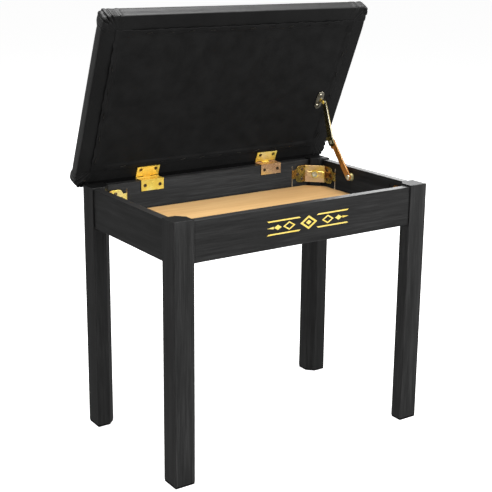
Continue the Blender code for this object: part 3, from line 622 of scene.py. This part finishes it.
def add_eased_block(bm, low, high, radius, ease, drop, corner_steps):
    """A block with round corners in plan, its edges cut off by ease across and drop down."""
    half, middle = (high - low) / 2, (high + low) / 2
    rings = []
    for inset, height in ((ease, low.z), (0.0, low.z + drop), (0.0, high.z - drop), (ease, high.z)):
        size = (half.x - inset, half.y - inset, radius - inset)
        outline = pad_outline(*size, NO_STEPS, NO_STEPS, corner_steps)
        rings.append([(middle.x + x, middle.y + y, height) for x, y in outline])
    add_rings(bm, rings, caps=True)


def build_pad():
    """The padded top, its sides and the cover turned in under the board, as one mesh."""
    grid_x, grid_y = PAD_HALF.x - TOP_GRID_INSET, PAD_HALF.y - TOP_GRID_INSET
    xs = spaced(2 * grid_x, 0.0009, 0.0060)
    ys = spaced(2 * grid_y, 0.0009, 0.0060)
    corner_steps = 26
    bm = bmesh.new()
    pinned = bm.verts.layers.float.new("held")
    points = [[(x - grid_x, PAD_MIDDLE_Y + y - grid_y, PAD_TOP) for y in ys] for x in xs]
    grid = add_rings(bm, points, closed=False)
    right, left = grid[-1], grid[0]
    back, front = [column[-1] for column in grid], [column[0] for column in grid]
    ring = [right[-1]] * (corner_steps + 1) + back[::-1][1:-1]
    ring += [left[-1]] * (corner_steps + 1) + left[::-1][1:-1]
    ring += [left[0]] * (corner_steps + 1) + front[1:-1]
    ring += [right[0]] * (corner_steps + 1) + right[1:-1]
    for inset, height, growth in pad_profile():
        radius = max(0.0006, PAD_CORNER * growth)
        outline = pad_outline(PAD_HALF.x - inset, PAD_HALF.y - inset, radius, xs, ys, corner_steps)
        following = []
        for x, y in outline:
            vert = bm.verts.new((x, PAD_MIDDLE_Y + y, height))
            vert[pinned] = 1.0 if height < PAD_TOP - PAD_ROUND * 0.75 else 0.0
            following.append(vert)
        for index in range(len(ring)):
            after = (index + 1) % len(ring)
            corners = [ring[index], ring[after], following[after], following[index]]
            kept = [vert for place, vert in enumerate(corners) if vert not in corners[:place]]
            face = bm.faces.new(kept)
            face_front = min(vert.co.y for vert in kept)
            # painted shade: the lowest faces along the hinge side take the near-black leather
            if height <= PAD_LOW.z + BEND * 1.01 and face_front > PAD_HIGH.y - BEND - SHADE_STRIP:
                face.material_index = 2
            # painted shade: the flap under the board takes the darker copy of the leather
            elif height <= PAD_LOW.z + BEND * 0.1:
                face.material_index = 1
        ring = following
    mesh = finished_mesh("upholstered_pad", bm)
    obj = add_object("upholstered_pad", mesh)
    crown(obj)
    rumple(obj)
    pleat_corners(obj)
    smooth_folds(obj)
    mesh.shade_smooth()
    for material in (LEATHER, SHADED_TURNED_LEATHER, HINGE_SHADE_LEATHER):
        mesh.materials.append(material)
    mesh.transform(LID)
    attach(obj, "lid")
    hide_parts("seat_cover", "foam_pad")


def build_board():
    """The lid's board, its corners rounded under the gathered cover."""
    bm = bmesh.new()
    add_eased_block(bm, *BOARD_BOX, BOARD_CORNER, BOARD_EDGE, BOARD_EDGE, 12)
    bm.transform(LID)
    board = mesh_object("lid_core_board", bm, BOARD, "lid")
    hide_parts("lid_board")


def crown(obj):
    """Blows the top up with a cloth simulation, the sides and flap held, and keeps it in bounds."""
    mesh = obj.data
    start = [vert.co.copy() for vert in mesh.vertices]
    group = obj.vertex_groups.new(name="held")
    held = mesh.attributes["held"].data
    for index, item in enumerate(held):
        group.add([index], item.value, "REPLACE")
    cloth = obj.modifiers.new("cloth", "CLOTH")
    settings = cloth.settings
    settings.quality = 6
    settings.mass = 0.35
    settings.tension_stiffness = settings.compression_stiffness = 12
    settings.shear_stiffness = 6
    settings.bending_stiffness = 0.6
    settings.use_pressure = True
    settings.uniform_pressure_force = 4.0
    settings.vertex_group_mass = "held"
    settings.effector_weights.gravity = 0.0
    cloth.point_cache.frame_end = CLOTH_FRAMES
    scene = bpy.context.scene
    for step in range(1, CLOTH_FRAMES + 1):
        scene.frame_set(step)
    depsgraph = bpy.context.evaluated_depsgraph_get()
    blown = obj.evaluated_get(depsgraph).to_mesh()
    moved = [vert.co.copy() for vert in blown.vertices]
    obj.modifiers.clear()
    scene.frame_set(1)
    for vert, first, last in zip(mesh.vertices, start, moved):
        shift = last - first
        for axis, centre in ((0, 0.0), (1, PAD_MIDDLE_Y)):
            if shift[axis] * (first[axis] - centre) < 0:
                shift[axis] = 0.0
        if shift.length > TOP_RISE:
            shift *= TOP_RISE / shift.length
        vert.co = first + shift
    for vert in mesh.vertices:
        square_shoulder(vert.co)
        if vert.co.z > PAD_TOP - PAD_ROUND:
            across = max(0.0, 1 - (vert.co.x / PAD_HALF.x) ** 2)
            deep = max(0.0, 1 - ((vert.co.y - PAD_MIDDLE_Y) / PAD_HALF.y) ** 2)
            lift = CROWN * (across * deep) ** 0.6
            soft = noise.noise(Vector((vert.co.x * 16, vert.co.y * 16, 3.7))) * 0.0007
            vert.co.z = min(vert.co.z + lift + soft * (across * deep), PAD_HIGH.z + TOP_RISE)


def square_shoulder(point):
    """Pushes the long sides' rounded shoulders out, more towards the left end."""
    side = math.copysign(1.0, point.y - PAD_MIDDLE_Y)
    deep = abs(point.y - PAD_MIDDLE_Y) - (PAD_HALF.y - PAD_ROUND)
    rise = point.z - (PAD_TOP - PAD_ROUND)
    if deep <= 0 or rise <= -SHOULDER_FADE:
        return
    turn = math.atan2(max(rise, 0.0), deep)
    share = math.sin(2 * turn) if rise > 0 else 0.0
    share = share**2 if turn > math.pi / 4 else share
    swell = (SHOULDER - SHOULDER_TO_LEFT * point.x) * share
    if deep > PAD_ROUND * 0.7:
        swell += 0.0012 * max(0.0, 1 + rise / SHOULDER_FADE) * (1 - share)
    point.y += side * swell * math.cos(turn)
    point.z += swell * math.sin(turn)


def pleat_profile(turn, reach, seed):
    """(how far a fold stands up, how deep the crease beside it is) at a turn of the fan."""
    rise, crease = 0.0, 0.0
    for index in range(PLEATS + 1):
        line = 0.10 + 0.80 * index / PLEATS
        line += 0.045 * math.sin(index * 2.3 + seed) + 0.02 * math.sin(reach * 160 + index + seed)
        gap = turn - line
        crease = max(crease, math.exp(-((gap * math.pi / 2 * reach / PLEAT_SLIT) ** 2)))
        if 0 <= gap < 0.8 / PLEATS:
            rise = max(rise, 1 - gap / (0.8 / PLEATS))
    return rise, crease


def over_leg(x, y, margin=0.0015):
    """Whether a point of the closed lid's underside is above a leg."""
    return any(
        low.x - margin < x < high.x + margin and low.y - margin < y < high.y + margin
        for low, high in LEG_BOXES
    )


def under_board(x, y, margin=0.0012):
    """Whether a point, from the lid's middle, has the board over it or within a margin."""
    half = (BOARD_BOX[1] - BOARD_BOX[0]) / 2
    deep_x, deep_y = abs(x) - (half.x - BOARD_CORNER), abs(y) - (half.y - BOARD_CORNER)
    if deep_x <= 0 or deep_y <= 0:
        return max(deep_x, deep_y) < BOARD_CORNER + margin
    return math.hypot(deep_x, deep_y) < BOARD_CORNER + margin


def pleat_corners(obj):
    """Folds fanned round each corner, from the flap's inner corner out and up the side."""
    apex_x, apex_y = PAD_HALF.x - FLAP - FLAP_OVERLAP, PAD_HALF.y - FLAP - FLAP_OVERLAP
    for vert in obj.data.vertices:
        x, y = vert.co.x, vert.co.y - PAD_MIDDLE_Y
        out_x, out_y = abs(x) - apex_x, abs(y) - apex_y
        if vert.co.z > PAD_LOW.z + PLEAT_TOP or min(out_x, out_y) < -FLAP_OVERLAP:
            continue
        reach = math.hypot(max(out_x, 0), max(out_y, 0))
        turn = math.atan2(max(out_y, 0.0), max(out_x, 0.0)) / (math.pi / 2)
        seed = math.copysign(1.1, x) + math.copysign(2.7, y)
        rise, crease = pleat_profile(turn, max(reach, 0.004), seed)
        if vert.co.z < PAD_LOW.z + BEND * 0.9:
            growth = min(1.0, reach / 0.020)
            deep = min(1.0, max(0.0, (reach - 0.026) / 0.006))
            vert.co.z += growth * (0.0012 * crease + 0.0005 * (1 - rise)) + 0.0024 * crease * deep
            if not over_leg(vert.co.x, vert.co.y):
                past = min(1.0, max(0.0, (max(out_x, out_y) - 0.014) / 0.006))
                vert.co.z -= 0.0015 * rise * past * (1 - crease)
            if under_board(x, y):
                vert.co.z = min(vert.co.z, BOARD_BOX[0].z - 0.0002)
        else:
            fade = max(0.0, 1 - (vert.co.z - PAD_LOW.z) / PLEAT_TOP) ** 0.5
            outward = Vector((math.copysign(out_x, x), math.copysign(out_y, y), 0)).normalized()
            vert.co += outward * ((0.0026 * rise - 0.0030 * crease) * fade)


def smooth_folds(obj):
    """Rounds the folds' edges at the corners, and makes the mesh finer."""
    group = obj.vertex_groups.new(name="corners")
    for vert in obj.data.vertices:
        if vert.co.z > PAD_LOW.z + PLEAT_TOP + 0.004:
            continue
        from_corner = max(PAD_HALF.x - abs(vert.co.x), PAD_HALF.y - abs(vert.co.y - PAD_MIDDLE_Y))
        if from_corner < SMOOTHED:
            group.add([vert.index], min(1.0, (SMOOTHED - from_corner) / 0.01), "REPLACE")
    smooth = obj.modifiers.new("round_folds", "SMOOTH")
    smooth.vertex_group = "corners"
    smooth.factor = 0.5
    smooth.iterations = 2
    finer = obj.modifiers.new("finer", "SUBSURF")
    finer.levels = finer.render_levels = 1


def rumple(obj):
    """Slow wrinkles in the sides and the flap, and a lip that hangs along the hinge side."""
    for vert in obj.data.vertices:
        x, y, z = vert.co
        if z >= PAD_TOP - PAD_ROUND:
            continue
        near_back = max(0.0, 1 - (PAD_HIGH.y - y) / 0.006)
        vert.co.y += LIP * near_back * max(0.0, 1 - (z - PAD_LOW.z) / 0.016)
        if z > PAD_LOW.z + BEND:
            wave = noise.noise(Vector((x * 22, y * 22, z * 60))) * 0.0006
            vert.co.x += math.copysign(wave, x) if abs(x) > PAD_HIGH.x - 0.01 else 0.0
            vert.co.y += math.copysign(wave, y - PAD_MIDDLE_Y) if abs(x) < PAD_HIGH.x - 0.01 else 0.0
        else:
            vert.co.z += 0.0004 * (1 + noise.noise(Vector((x * 45, y * 45, 8.8))))


# ---------------- backing sheet

SHEET_X = 0.2475  # half width
SHEET_LOW = round(PAD_LOW.y, 4) + 0.0275
SHEET_HIGH = round(PAD_HIGH.y, 4) - 0.0290
SHEET_THICK = 0.0006
HEM = 0.007  # the edge that lies over the cover's flap
HEM_Z = PAD_LOW.z - 0.0009
INSIDE_LOWEST = PAD_LOW.z + 0.0003  # the middle hangs no lower
LEG_CLEAR = PAD_LOW.z - 0.0001  # over the leg tops, with the lid closed
STAPLE_STEP = 0.043
STAPLE_INSET = 0.0045
STAPLE_Z = HEM_Z - 0.0012
STAPLE_SIZE = (0.0100, 0.0009, 0.0005)
STAPLE_TILT = 0.25  # the most that a staple is turned, in radians


def staple_places():
    """(point on the sheet's edge line, direction along it), going round the sheet."""
    width, depth = 2 * SHEET_X, SHEET_HIGH - SHEET_LOW
    sides = (
        ((-SHEET_X, SHEET_LOW), (1, 0), width),
        ((SHEET_X, SHEET_LOW), (0, 1), depth),
        ((SHEET_X, SHEET_HIGH), (-1, 0), width),
        ((-SHEET_X, SHEET_HIGH), (0, -1), depth),
    )
    places = []
    for start, direction, length in sides:
        count = round(length / STAPLE_STEP)
        for index in range(count):
            at = length * (index + 0.5) / count
            places.append((Vector(start) + Vector(direction) * at, Vector(direction)))
    return places


def build_sheet():
    """The backing sheet: hemmed, stapled, slightly loose between its staples."""
    width, depth = 2 * SHEET_X, SHEET_HIGH - SHEET_LOW
    xs, ys = spaced(width, 0.0010, 0.0060), spaced(depth, 0.0010, 0.0060)
    count_x, count_y = round(width / STAPLE_STEP), round(depth / STAPLE_STEP)
    bm = bmesh.new()
    grid = []
    for x in xs:
        row = []
        for y in ys:
            edge_x, edge_y = min(x, width - x), min(y, depth - y)
            edge = min(edge_x, edge_y)
            wave_x = -math.cos(math.tau * x / width * count_x)
            wave_y = -math.cos(math.tau * y / depth * count_y)
            near = math.exp(-edge / 0.006)
            swing = wave_y if edge_x < edge_y else wave_x
            lift = near * (0.5 + 0.5 * swing)
            px, py = x - SHEET_X, SHEET_LOW + y
            ragged = noise.noise(Vector((px * 90, py * 90, 1.3)))
            pull = (0.0016 * swing + 0.0012 * ragged) * math.exp(-edge / 0.004)
            if edge_x < edge_y:
                px += math.copysign(pull, px)
            else:
                py += math.copysign(pull, py - (SHEET_LOW + depth / 2))
            wrinkle = noise.noise(Vector((px * 11, py * 14, 0.2))) * 0.0005
            wrinkle += noise.noise(Vector((px * 34, py * 30, 5.2))) * 0.00025
            inside = min(1.0, max(0.0, (edge - HEM) / 0.004))
            z = HEM_Z - 0.0010 * lift + (0.0015 + wrinkle) * inside
            if inside == 1.0:
                z = max(z, INSIDE_LOWEST)
            if over_leg(px, py, 0.004):
                z = max(z, LEG_CLEAR)
            row.append((px, py, z))
        grid.append(row)
    add_rings(bm, grid, closed=False)
    bm.transform(LID)
    obj = mesh_object("backing_sheet", bm, BACKING, "lid")
    faces_down = obj.data.polygons[0].normal.dot(LID.to_3x3() @ UP) < 0
    thicken = obj.modifiers.new("thickness", "SOLIDIFY")
    thicken.thickness = SHEET_THICK
    thicken.offset = -1.0 if faces_down else 1.0
    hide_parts("dust_cover")


def build_staples():
    """Flat wire staples along the sheet's hem."""
    bm = bmesh.new()
    rng = random.Random(7)
    for place, direction in staple_places():
        turn = math.atan2(direction.y, direction.x) + rng.uniform(-STAPLE_TILT, STAPLE_TILT)
        spot = place + Vector((-direction.y, direction.x)) * STAPLE_INSET
        if not over_leg(spot.x, spot.y, 0.006):
            laid = Matrix.Translation((spot.x, spot.y, STAPLE_Z)) @ Matrix.Rotation(turn, 4, "Z")
            bmesh.ops.create_cube(bm, size=1, matrix=laid @ Matrix.Diagonal((*STAPLE_SIZE, 1)))
    bm.transform(LID)
    mesh_object("hem_staples", bm, STAPLE, "lid")


# ---------------- corner plates

BEND_AT = 0.0285  # where the plate leaves the apron for its web, from the aprons' corner
REACH = 0.051  # where the flange ends and its narrow tongue starts
FLANGE_ROUND = 0.009  # how long the flange's rounded end is
PLATE_Z = 0.4170
PLATE_HALF = 0.01675
TONGUE_HALF = 0.0085
PRESSED_THICK = 0.0013
RIB_HALF = 0.0056
RIB_RISE = 0.0023
RIB_REACH = 0.0190  # from the bolt to the rib's ends
SCREW_PLACES = ((0.0365, 0.0095), (0.0365, -0.0095), (0.0475, 0.0))  # (from the corner, height)
SCREW_OUT = 0.0018
PLATE_THICK = 0.0015  # of the stay's lid plate
PLATE_CLEAR = 0.0002  # how much narrower it is than its solid, on each side
LUG = 0.0048
LUG_THICK = 0.0017
ARM_THICK = 0.0020
RIM_RADIUS = 0.0009


def plate_path():
    """The plate's middle line in plan, from one kerf round the corner to the other."""
    off = 0.0010
    kerf_end = 0.0055
    corners = [
        Vector((kerf_end, -KERF)),
        Vector((-off, -KERF)),
        Vector((-off, -BEND_AT)),
        Vector((-BEND_AT, -off)),
        Vector((-KERF, -off)),
        Vector((-KERF, kerf_end)),
    ]
    points = []
    for first, second in zip(corners, corners[1:]):
        steps = max(2, round((second - first).length / 0.0012))
        points += [first.lerp(second, step / steps) for step in range(steps)]
    points.append(corners[-1])
    for _ in range(3):
        inner = [(a + 2 * b + c) / 4 for a, b, c in zip(points, points[1:], points[2:])]
        points = [points[0]] + inner + [points[-1]]
    return points


def plate_height(from_corner):
    """Half height of the plate at a distance from the corner along either wall."""
    share = (from_corner - REACH) / FLANGE_ROUND + 1
    if share < 0:
        return PLATE_HALF
    if from_corner > REACH:
        return TONGUE_HALF
    return TONGUE_HALF + (PLATE_HALF - TONGUE_HALF) * math.sqrt(max(0.0, 1 - share * share))


def build_corner_plate(corner, sign_x, sign_y):
    """A pressed plate with a raised rib across its web, and the screws in its flanges."""
    path = plate_path()
    bm = bmesh.new()
    rows = []
    steps = 36
    for index, point in enumerate(path):
        before, after = path[max(0, index - 1)], path[min(len(path) - 1, index + 1)]
        direction = (after - before).normalized()
        inward = Vector((direction.y, -direction.x))
        if inward.dot(Vector((-1, -1))) < 0:
            inward = -inward
        from_corner = max(-point.x, -point.y)
        half = plate_height(from_corner)
        from_bolt = abs(point.x - point.y) / math.sqrt(2)
        web = min(1.0, max(0.0, (RIB_REACH - from_bolt) / 0.003)) if from_corner < BEND_AT else 0.0
        row = []
        for step in range(steps + 1):
            height = half * (2 * step / steps - 1)
            rib = max(0.0, 1 - (height / RIB_HALF) ** 2) ** 0.7 * web * RIB_RISE
            place = point + inward * rib
            row.append(Vector((place.x, place.y, PLATE_Z + height)))
        rows.append(row)
    add_rings(bm, rows, closed=False)
    for face in bm.faces:
        spot = face.calc_center_median()
        face.material_index = 1 if max(-spot.x, -spot.y) > BEND_AT else 0
    place = Matrix.Translation((sign_x * INNER_X, MIDDLE_Y + sign_y * INNER_Y, 0))
    mirror = Matrix.Diagonal((sign_x, sign_y, 1, 1))
    bm.transform(place @ mirror)
    plate = mesh_object(f"pressed_plate_{corner}", bm, BRACKET_ZINC, "frame")
    # painted shade: the flanges take the darker plating, except at the back left corner, which keeps the
    # yellow zinc
    plate.data.materials.append(ZINC if corner == "back_left" else FLANGE_ZINC_SHADED)
    thicken = plate.modifiers.new("thickness", "SOLIDIFY")
    thicken.thickness = PRESSED_THICK
    thicken.offset = 0.0
    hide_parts(f"corner_bracket_{corner}")

    bm = bmesh.new()
    rng = random.Random(hash_seed(corner))
    for distance, height in SCREW_PLACES:
        for point, normal in (
            (Vector((-SCREW_OUT, -distance, PLATE_Z + height)), Vector((-1, 0, 0))),
            (Vector((-distance, -SCREW_OUT, PLATE_Z + height)), Vector((0, -1, 0))),
        ):
            add_screw_head(bm, point, normal, 0.0033, 0.0013, rng.uniform(0, math.pi))
    bm.transform(place @ mirror)
    mesh_object(f"plate_screws_{corner}", bm, DARK_SCREW, "frame", 30.0)


def build_lid_plate():
    """The stay's plate under the lid, round at both ends, with the lug that takes the rivet."""
    low, high = lid_box("stay_lid_plate")
    back = LID.inverted()
    middle = sum((back @ vert.co for vert in NODES["stay_lid_rivet"].data.vertices), Vector())
    middle /= len(NODES["stay_lid_rivet"].data.vertices)
    low = Vector((low.x + PLATE_CLEAR, low.y, high.z - PLATE_THICK))
    radius = (high.x - low.x - PLATE_CLEAR) / 2
    bm = bmesh.new()
    add_eased_block(bm, low, high - Vector((PLATE_CLEAR, 0, 0)), radius - 0.0001, 0.0006, 0.0004, 10)
    root = low.z + 0.0003  # the lug starts inside the plate
    lug = [(LUG, root)]
    for step in range(13):
        turn = math.pi * step / 12
        lug.append((LUG * math.cos(turn), middle.z - LUG * math.sin(turn)))
    lug.append((-LUG, root))
    sides = [[(x, middle.y + y, z) for y, z in lug] for x in (high.x - LUG_THICK, high.x)]
    add_rings(bm, sides, caps=True)
    bm.transform(LID)
    plate = mesh_object("stay_plate_round", bm, STEEL, "lid")
    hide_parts("stay_lid_plate")


def build_arm_rims():
    """A rolled rim along the front edge of each stay arm, in a paler copy of the arm's plating: a painted
    highlight along the edge.
    """
    knee = sum(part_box("stay_knee_rivet_tail"), Vector()) / 2
    wall = sum(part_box("stay_wall_screw"), Vector()) / 2
    pivot = sum(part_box("stay_lid_rivet"), Vector()) / 2
    arms = (
        ("upper", pivot, (0.0050, 0.0085), RIM, "yellow_zinc"),
        ("lower", wall, (0.00675, 0.00675), COPPER_RIM, "copper_zinc"),
    )
    for label, far, radii, material, slot in arms:
        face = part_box(f"stay_{label}_arm")[1].x - ARM_THICK
        start, end = Vector((face, far.y, far.z)), Vector((face, knee.y, knee.z))
        line = end - start
        lean = (radii[0] - radii[1]) / line.length
        line.normalize()
        across = Vector((0, -line.z, line.y))
        across *= -math.copysign(1, across.y)
        normal = across * math.sqrt(1 - lean * lean) + line * lean
        start += normal * (radii[0] - RIM_RADIUS * 0.8)
        end += normal * (radii[1] - RIM_RADIUS * 0.8)
        direction = (end - start).normalized()
        outward = Vector((1, 0, 0))
        upward = direction.cross(outward)
        rings = []
        for step in range(25):
            share = step / 24
            size = RIM_RADIUS * min(1.0, 8 * share + 0.15, 8 * (1 - share) + 0.15)
            centre = start.lerp(end, 0.02 + 0.96 * share)
            ring = []
            for index in range(10):
                turn = math.tau * index / 10
                ring.append(centre + (outward * math.cos(turn) + upward * math.sin(turn)) * size)
            rings.append(ring)
        bm = bmesh.new()
        add_rings(bm, rings, caps=True)
        mesh_object(f"{label}_arm_rim", bm, material, f"stay_{label}")


def hash_seed(word):
    """A seed that is the same each run, from a word's letters."""
    return sum(ord(letter) * (index + 1) for index, letter in enumerate(word))


# ---------------- ornament

ORNAMENT_Z = 0.4115
ORNAMENT_HALF = 0.0845
BAR_LOW = 0.0098
BAR_HIGH = 0.0122
GILT_THICK = 0.0003


def ornament_shapes():
    """Closed outlines of a plain geometric band: lozenges joined by tapered bars."""
    shapes = []

    def lozenge(x, half_width, half_height, stroke):
        outer = [(x - half_width, 0), (x, -half_height), (x + half_width, 0), (x, half_height)]
        shapes.append((outer, stroke))

    lozenge(0.0, 0.0175, 0.0118, 0.0046)
    for side in (-1, 1):
        lozenge(side * 0.0400, 0.0125, 0.0074, 0.0034)
        lozenge(side * 0.0630, 0.0075, 0.0044, 0.0)
    lozenge(0.0, 0.0055, 0.0040, 0.0)
    for side in (-1, 1):
        for sign in (-1, 1):
            bar = [
                (side * 0.0165, sign * BAR_LOW),
                (side * 0.0200, sign * BAR_HIGH),
                (side * ORNAMENT_HALF, sign * BAR_HIGH),
                (side * (ORNAMENT_HALF - 0.003), sign * BAR_LOW),
            ]
            shapes.append((bar, 0.0))
        point = [(side * 0.0715, 0.0019), (side * ORNAMENT_HALF, 0.0), (side * 0.0715, -0.0019)]
        shapes.append((point, 0.0))
    return shapes


def build_ornament():
    """A thin gilt band on the front apron."""
    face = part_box("front_apron")[0].y
    bm = bmesh.new()
    for outline, stroke in ornament_shapes():
        middle = sum((Vector(point) for point in outline), Vector((0, 0))) / len(outline)
        reach = max((Vector(point) - middle).length for point in outline)
        inner = [middle + (Vector(point) - middle) * (1 - stroke / reach * 1.25) for point in outline]
        rings = []
        for ring, rise in ((outline, 0.0), (outline, GILT_THICK), (inner, GILT_THICK), (inner, 0.0)):
            rings.append([(x, face - rise, ORNAMENT_Z + y) for x, y in ring])
        if stroke:
            add_rings(bm, rings)
        else:
            made = add_rings(bm, rings[:2])
            bm.faces.new(made[-1])
    mesh_object("apron_ornament", bm, GILT, "frame", 20.0)


# ---------------- stage


def build_stage():
    """A plain pale floor, soft lights and the camera."""
    scene = bpy.context.scene
    scene.view_settings.view_transform = "Standard"
    bm = bmesh.new()
    bmesh.ops.create_grid(bm, x_segments=1, y_segments=1, size=30)
    floor = add_object("floor", finished_mesh("floor", bm))
    floor.location.z = -0.0006  # a hair below the feet, so that the two don't flicker
    shader = Shader("pale_floor")
    shader.put(Base_Color=(0.82, 0.82, 0.82, 1), Roughness=0.9, Specular_IOR_Level=0.0)
    shader.put(Emission_Color=(1, 1, 1, 1), Emission_Strength=0.80)
    floor.data.materials.append(shader.material)
    floor.visible_glossy = False

    world = bpy.data.worlds.new("studio")
    scene.world = world
    world.use_nodes = True
    tree = world.node_tree
    background = tree.nodes["Background"]
    fill(background, Color=(1, 1, 1, 1), Strength=0.215)
    seen = tree.nodes.new("ShaderNodeBackground")
    fill(seen, Color=(1, 1, 1, 1), Strength=1.0)
    path = tree.nodes.new("ShaderNodeLightPath")
    mixer = tree.nodes.new("ShaderNodeMixShader")
    tree.links.new(path.outputs["Is Camera Ray"], mixer.inputs["Fac"])
    tree.links.new(background.outputs["Background"], mixer.inputs[1])
    tree.links.new(seen.outputs["Background"], mixer.inputs[2])
    tree.links.new(mixer.outputs["Shader"], tree.nodes["World Output"].inputs["Surface"])

    for name, place, size, power in (
        ("key_light", (0.2, -2.6, 1.35), 1.6, 40),
        ("top_light", (-0.03, -0.12, 2.2), 1.8, 66),
        ("edge_light", (2.4, 1.75, 0.95), 1.2, 22),
        ("right_light", (1.9, -1.5, 1.0), 1.2, 15),
        ("back_light", (1.8, 2.6, 1.25), 2.0, 20),
    ):
        data = bpy.data.lights.new(name, "AREA")
        data.size = size
        data.energy = power
        light = add_object(name, data)
        light.location = place
        aim = Vector((0, 0, 0.42)) - Vector(place)
        light.rotation_euler = aim.to_track_quat("-Z", "Y").to_euler()

    data = bpy.data.cameras.new("camera")
    camera = add_object("camera", data)
    scene.camera = camera
    yaw, pitch, roll = math.radians(33.741), math.radians(14.320), math.radians(0.409)
    ahead = Vector((math.sin(yaw), math.cos(yaw), 0))
    forward = ahead * math.cos(pitch) - Vector((0, 0, math.sin(pitch)))
    level = Vector((math.cos(yaw), -math.sin(yaw), 0))
    upright = level.cross(forward)
    across = level * math.cos(roll) + upright * math.sin(roll)
    up = upright * math.cos(roll) - level * math.sin(roll)
    turn = Matrix((across, up, -forward)).transposed()
    place = Matrix.Translation((-1.06414, -1.53037 + MIDDLE_Y, 0.86411))
    camera.matrix_world = place @ turn.to_4x4()
    data.lens = 79.23
    data.sensor_width = 36.0
    data.shift_x = 0.0203
    data.shift_y = -0.0610


dress_nodes()
build_board()
build_pad()
build_sheet()
build_staples()
for corner, signs in CORNERS.items():
    build_corner_plate(corner, *signs)
build_lid_plate()
build_arm_rims()
build_ornament()
build_stage()
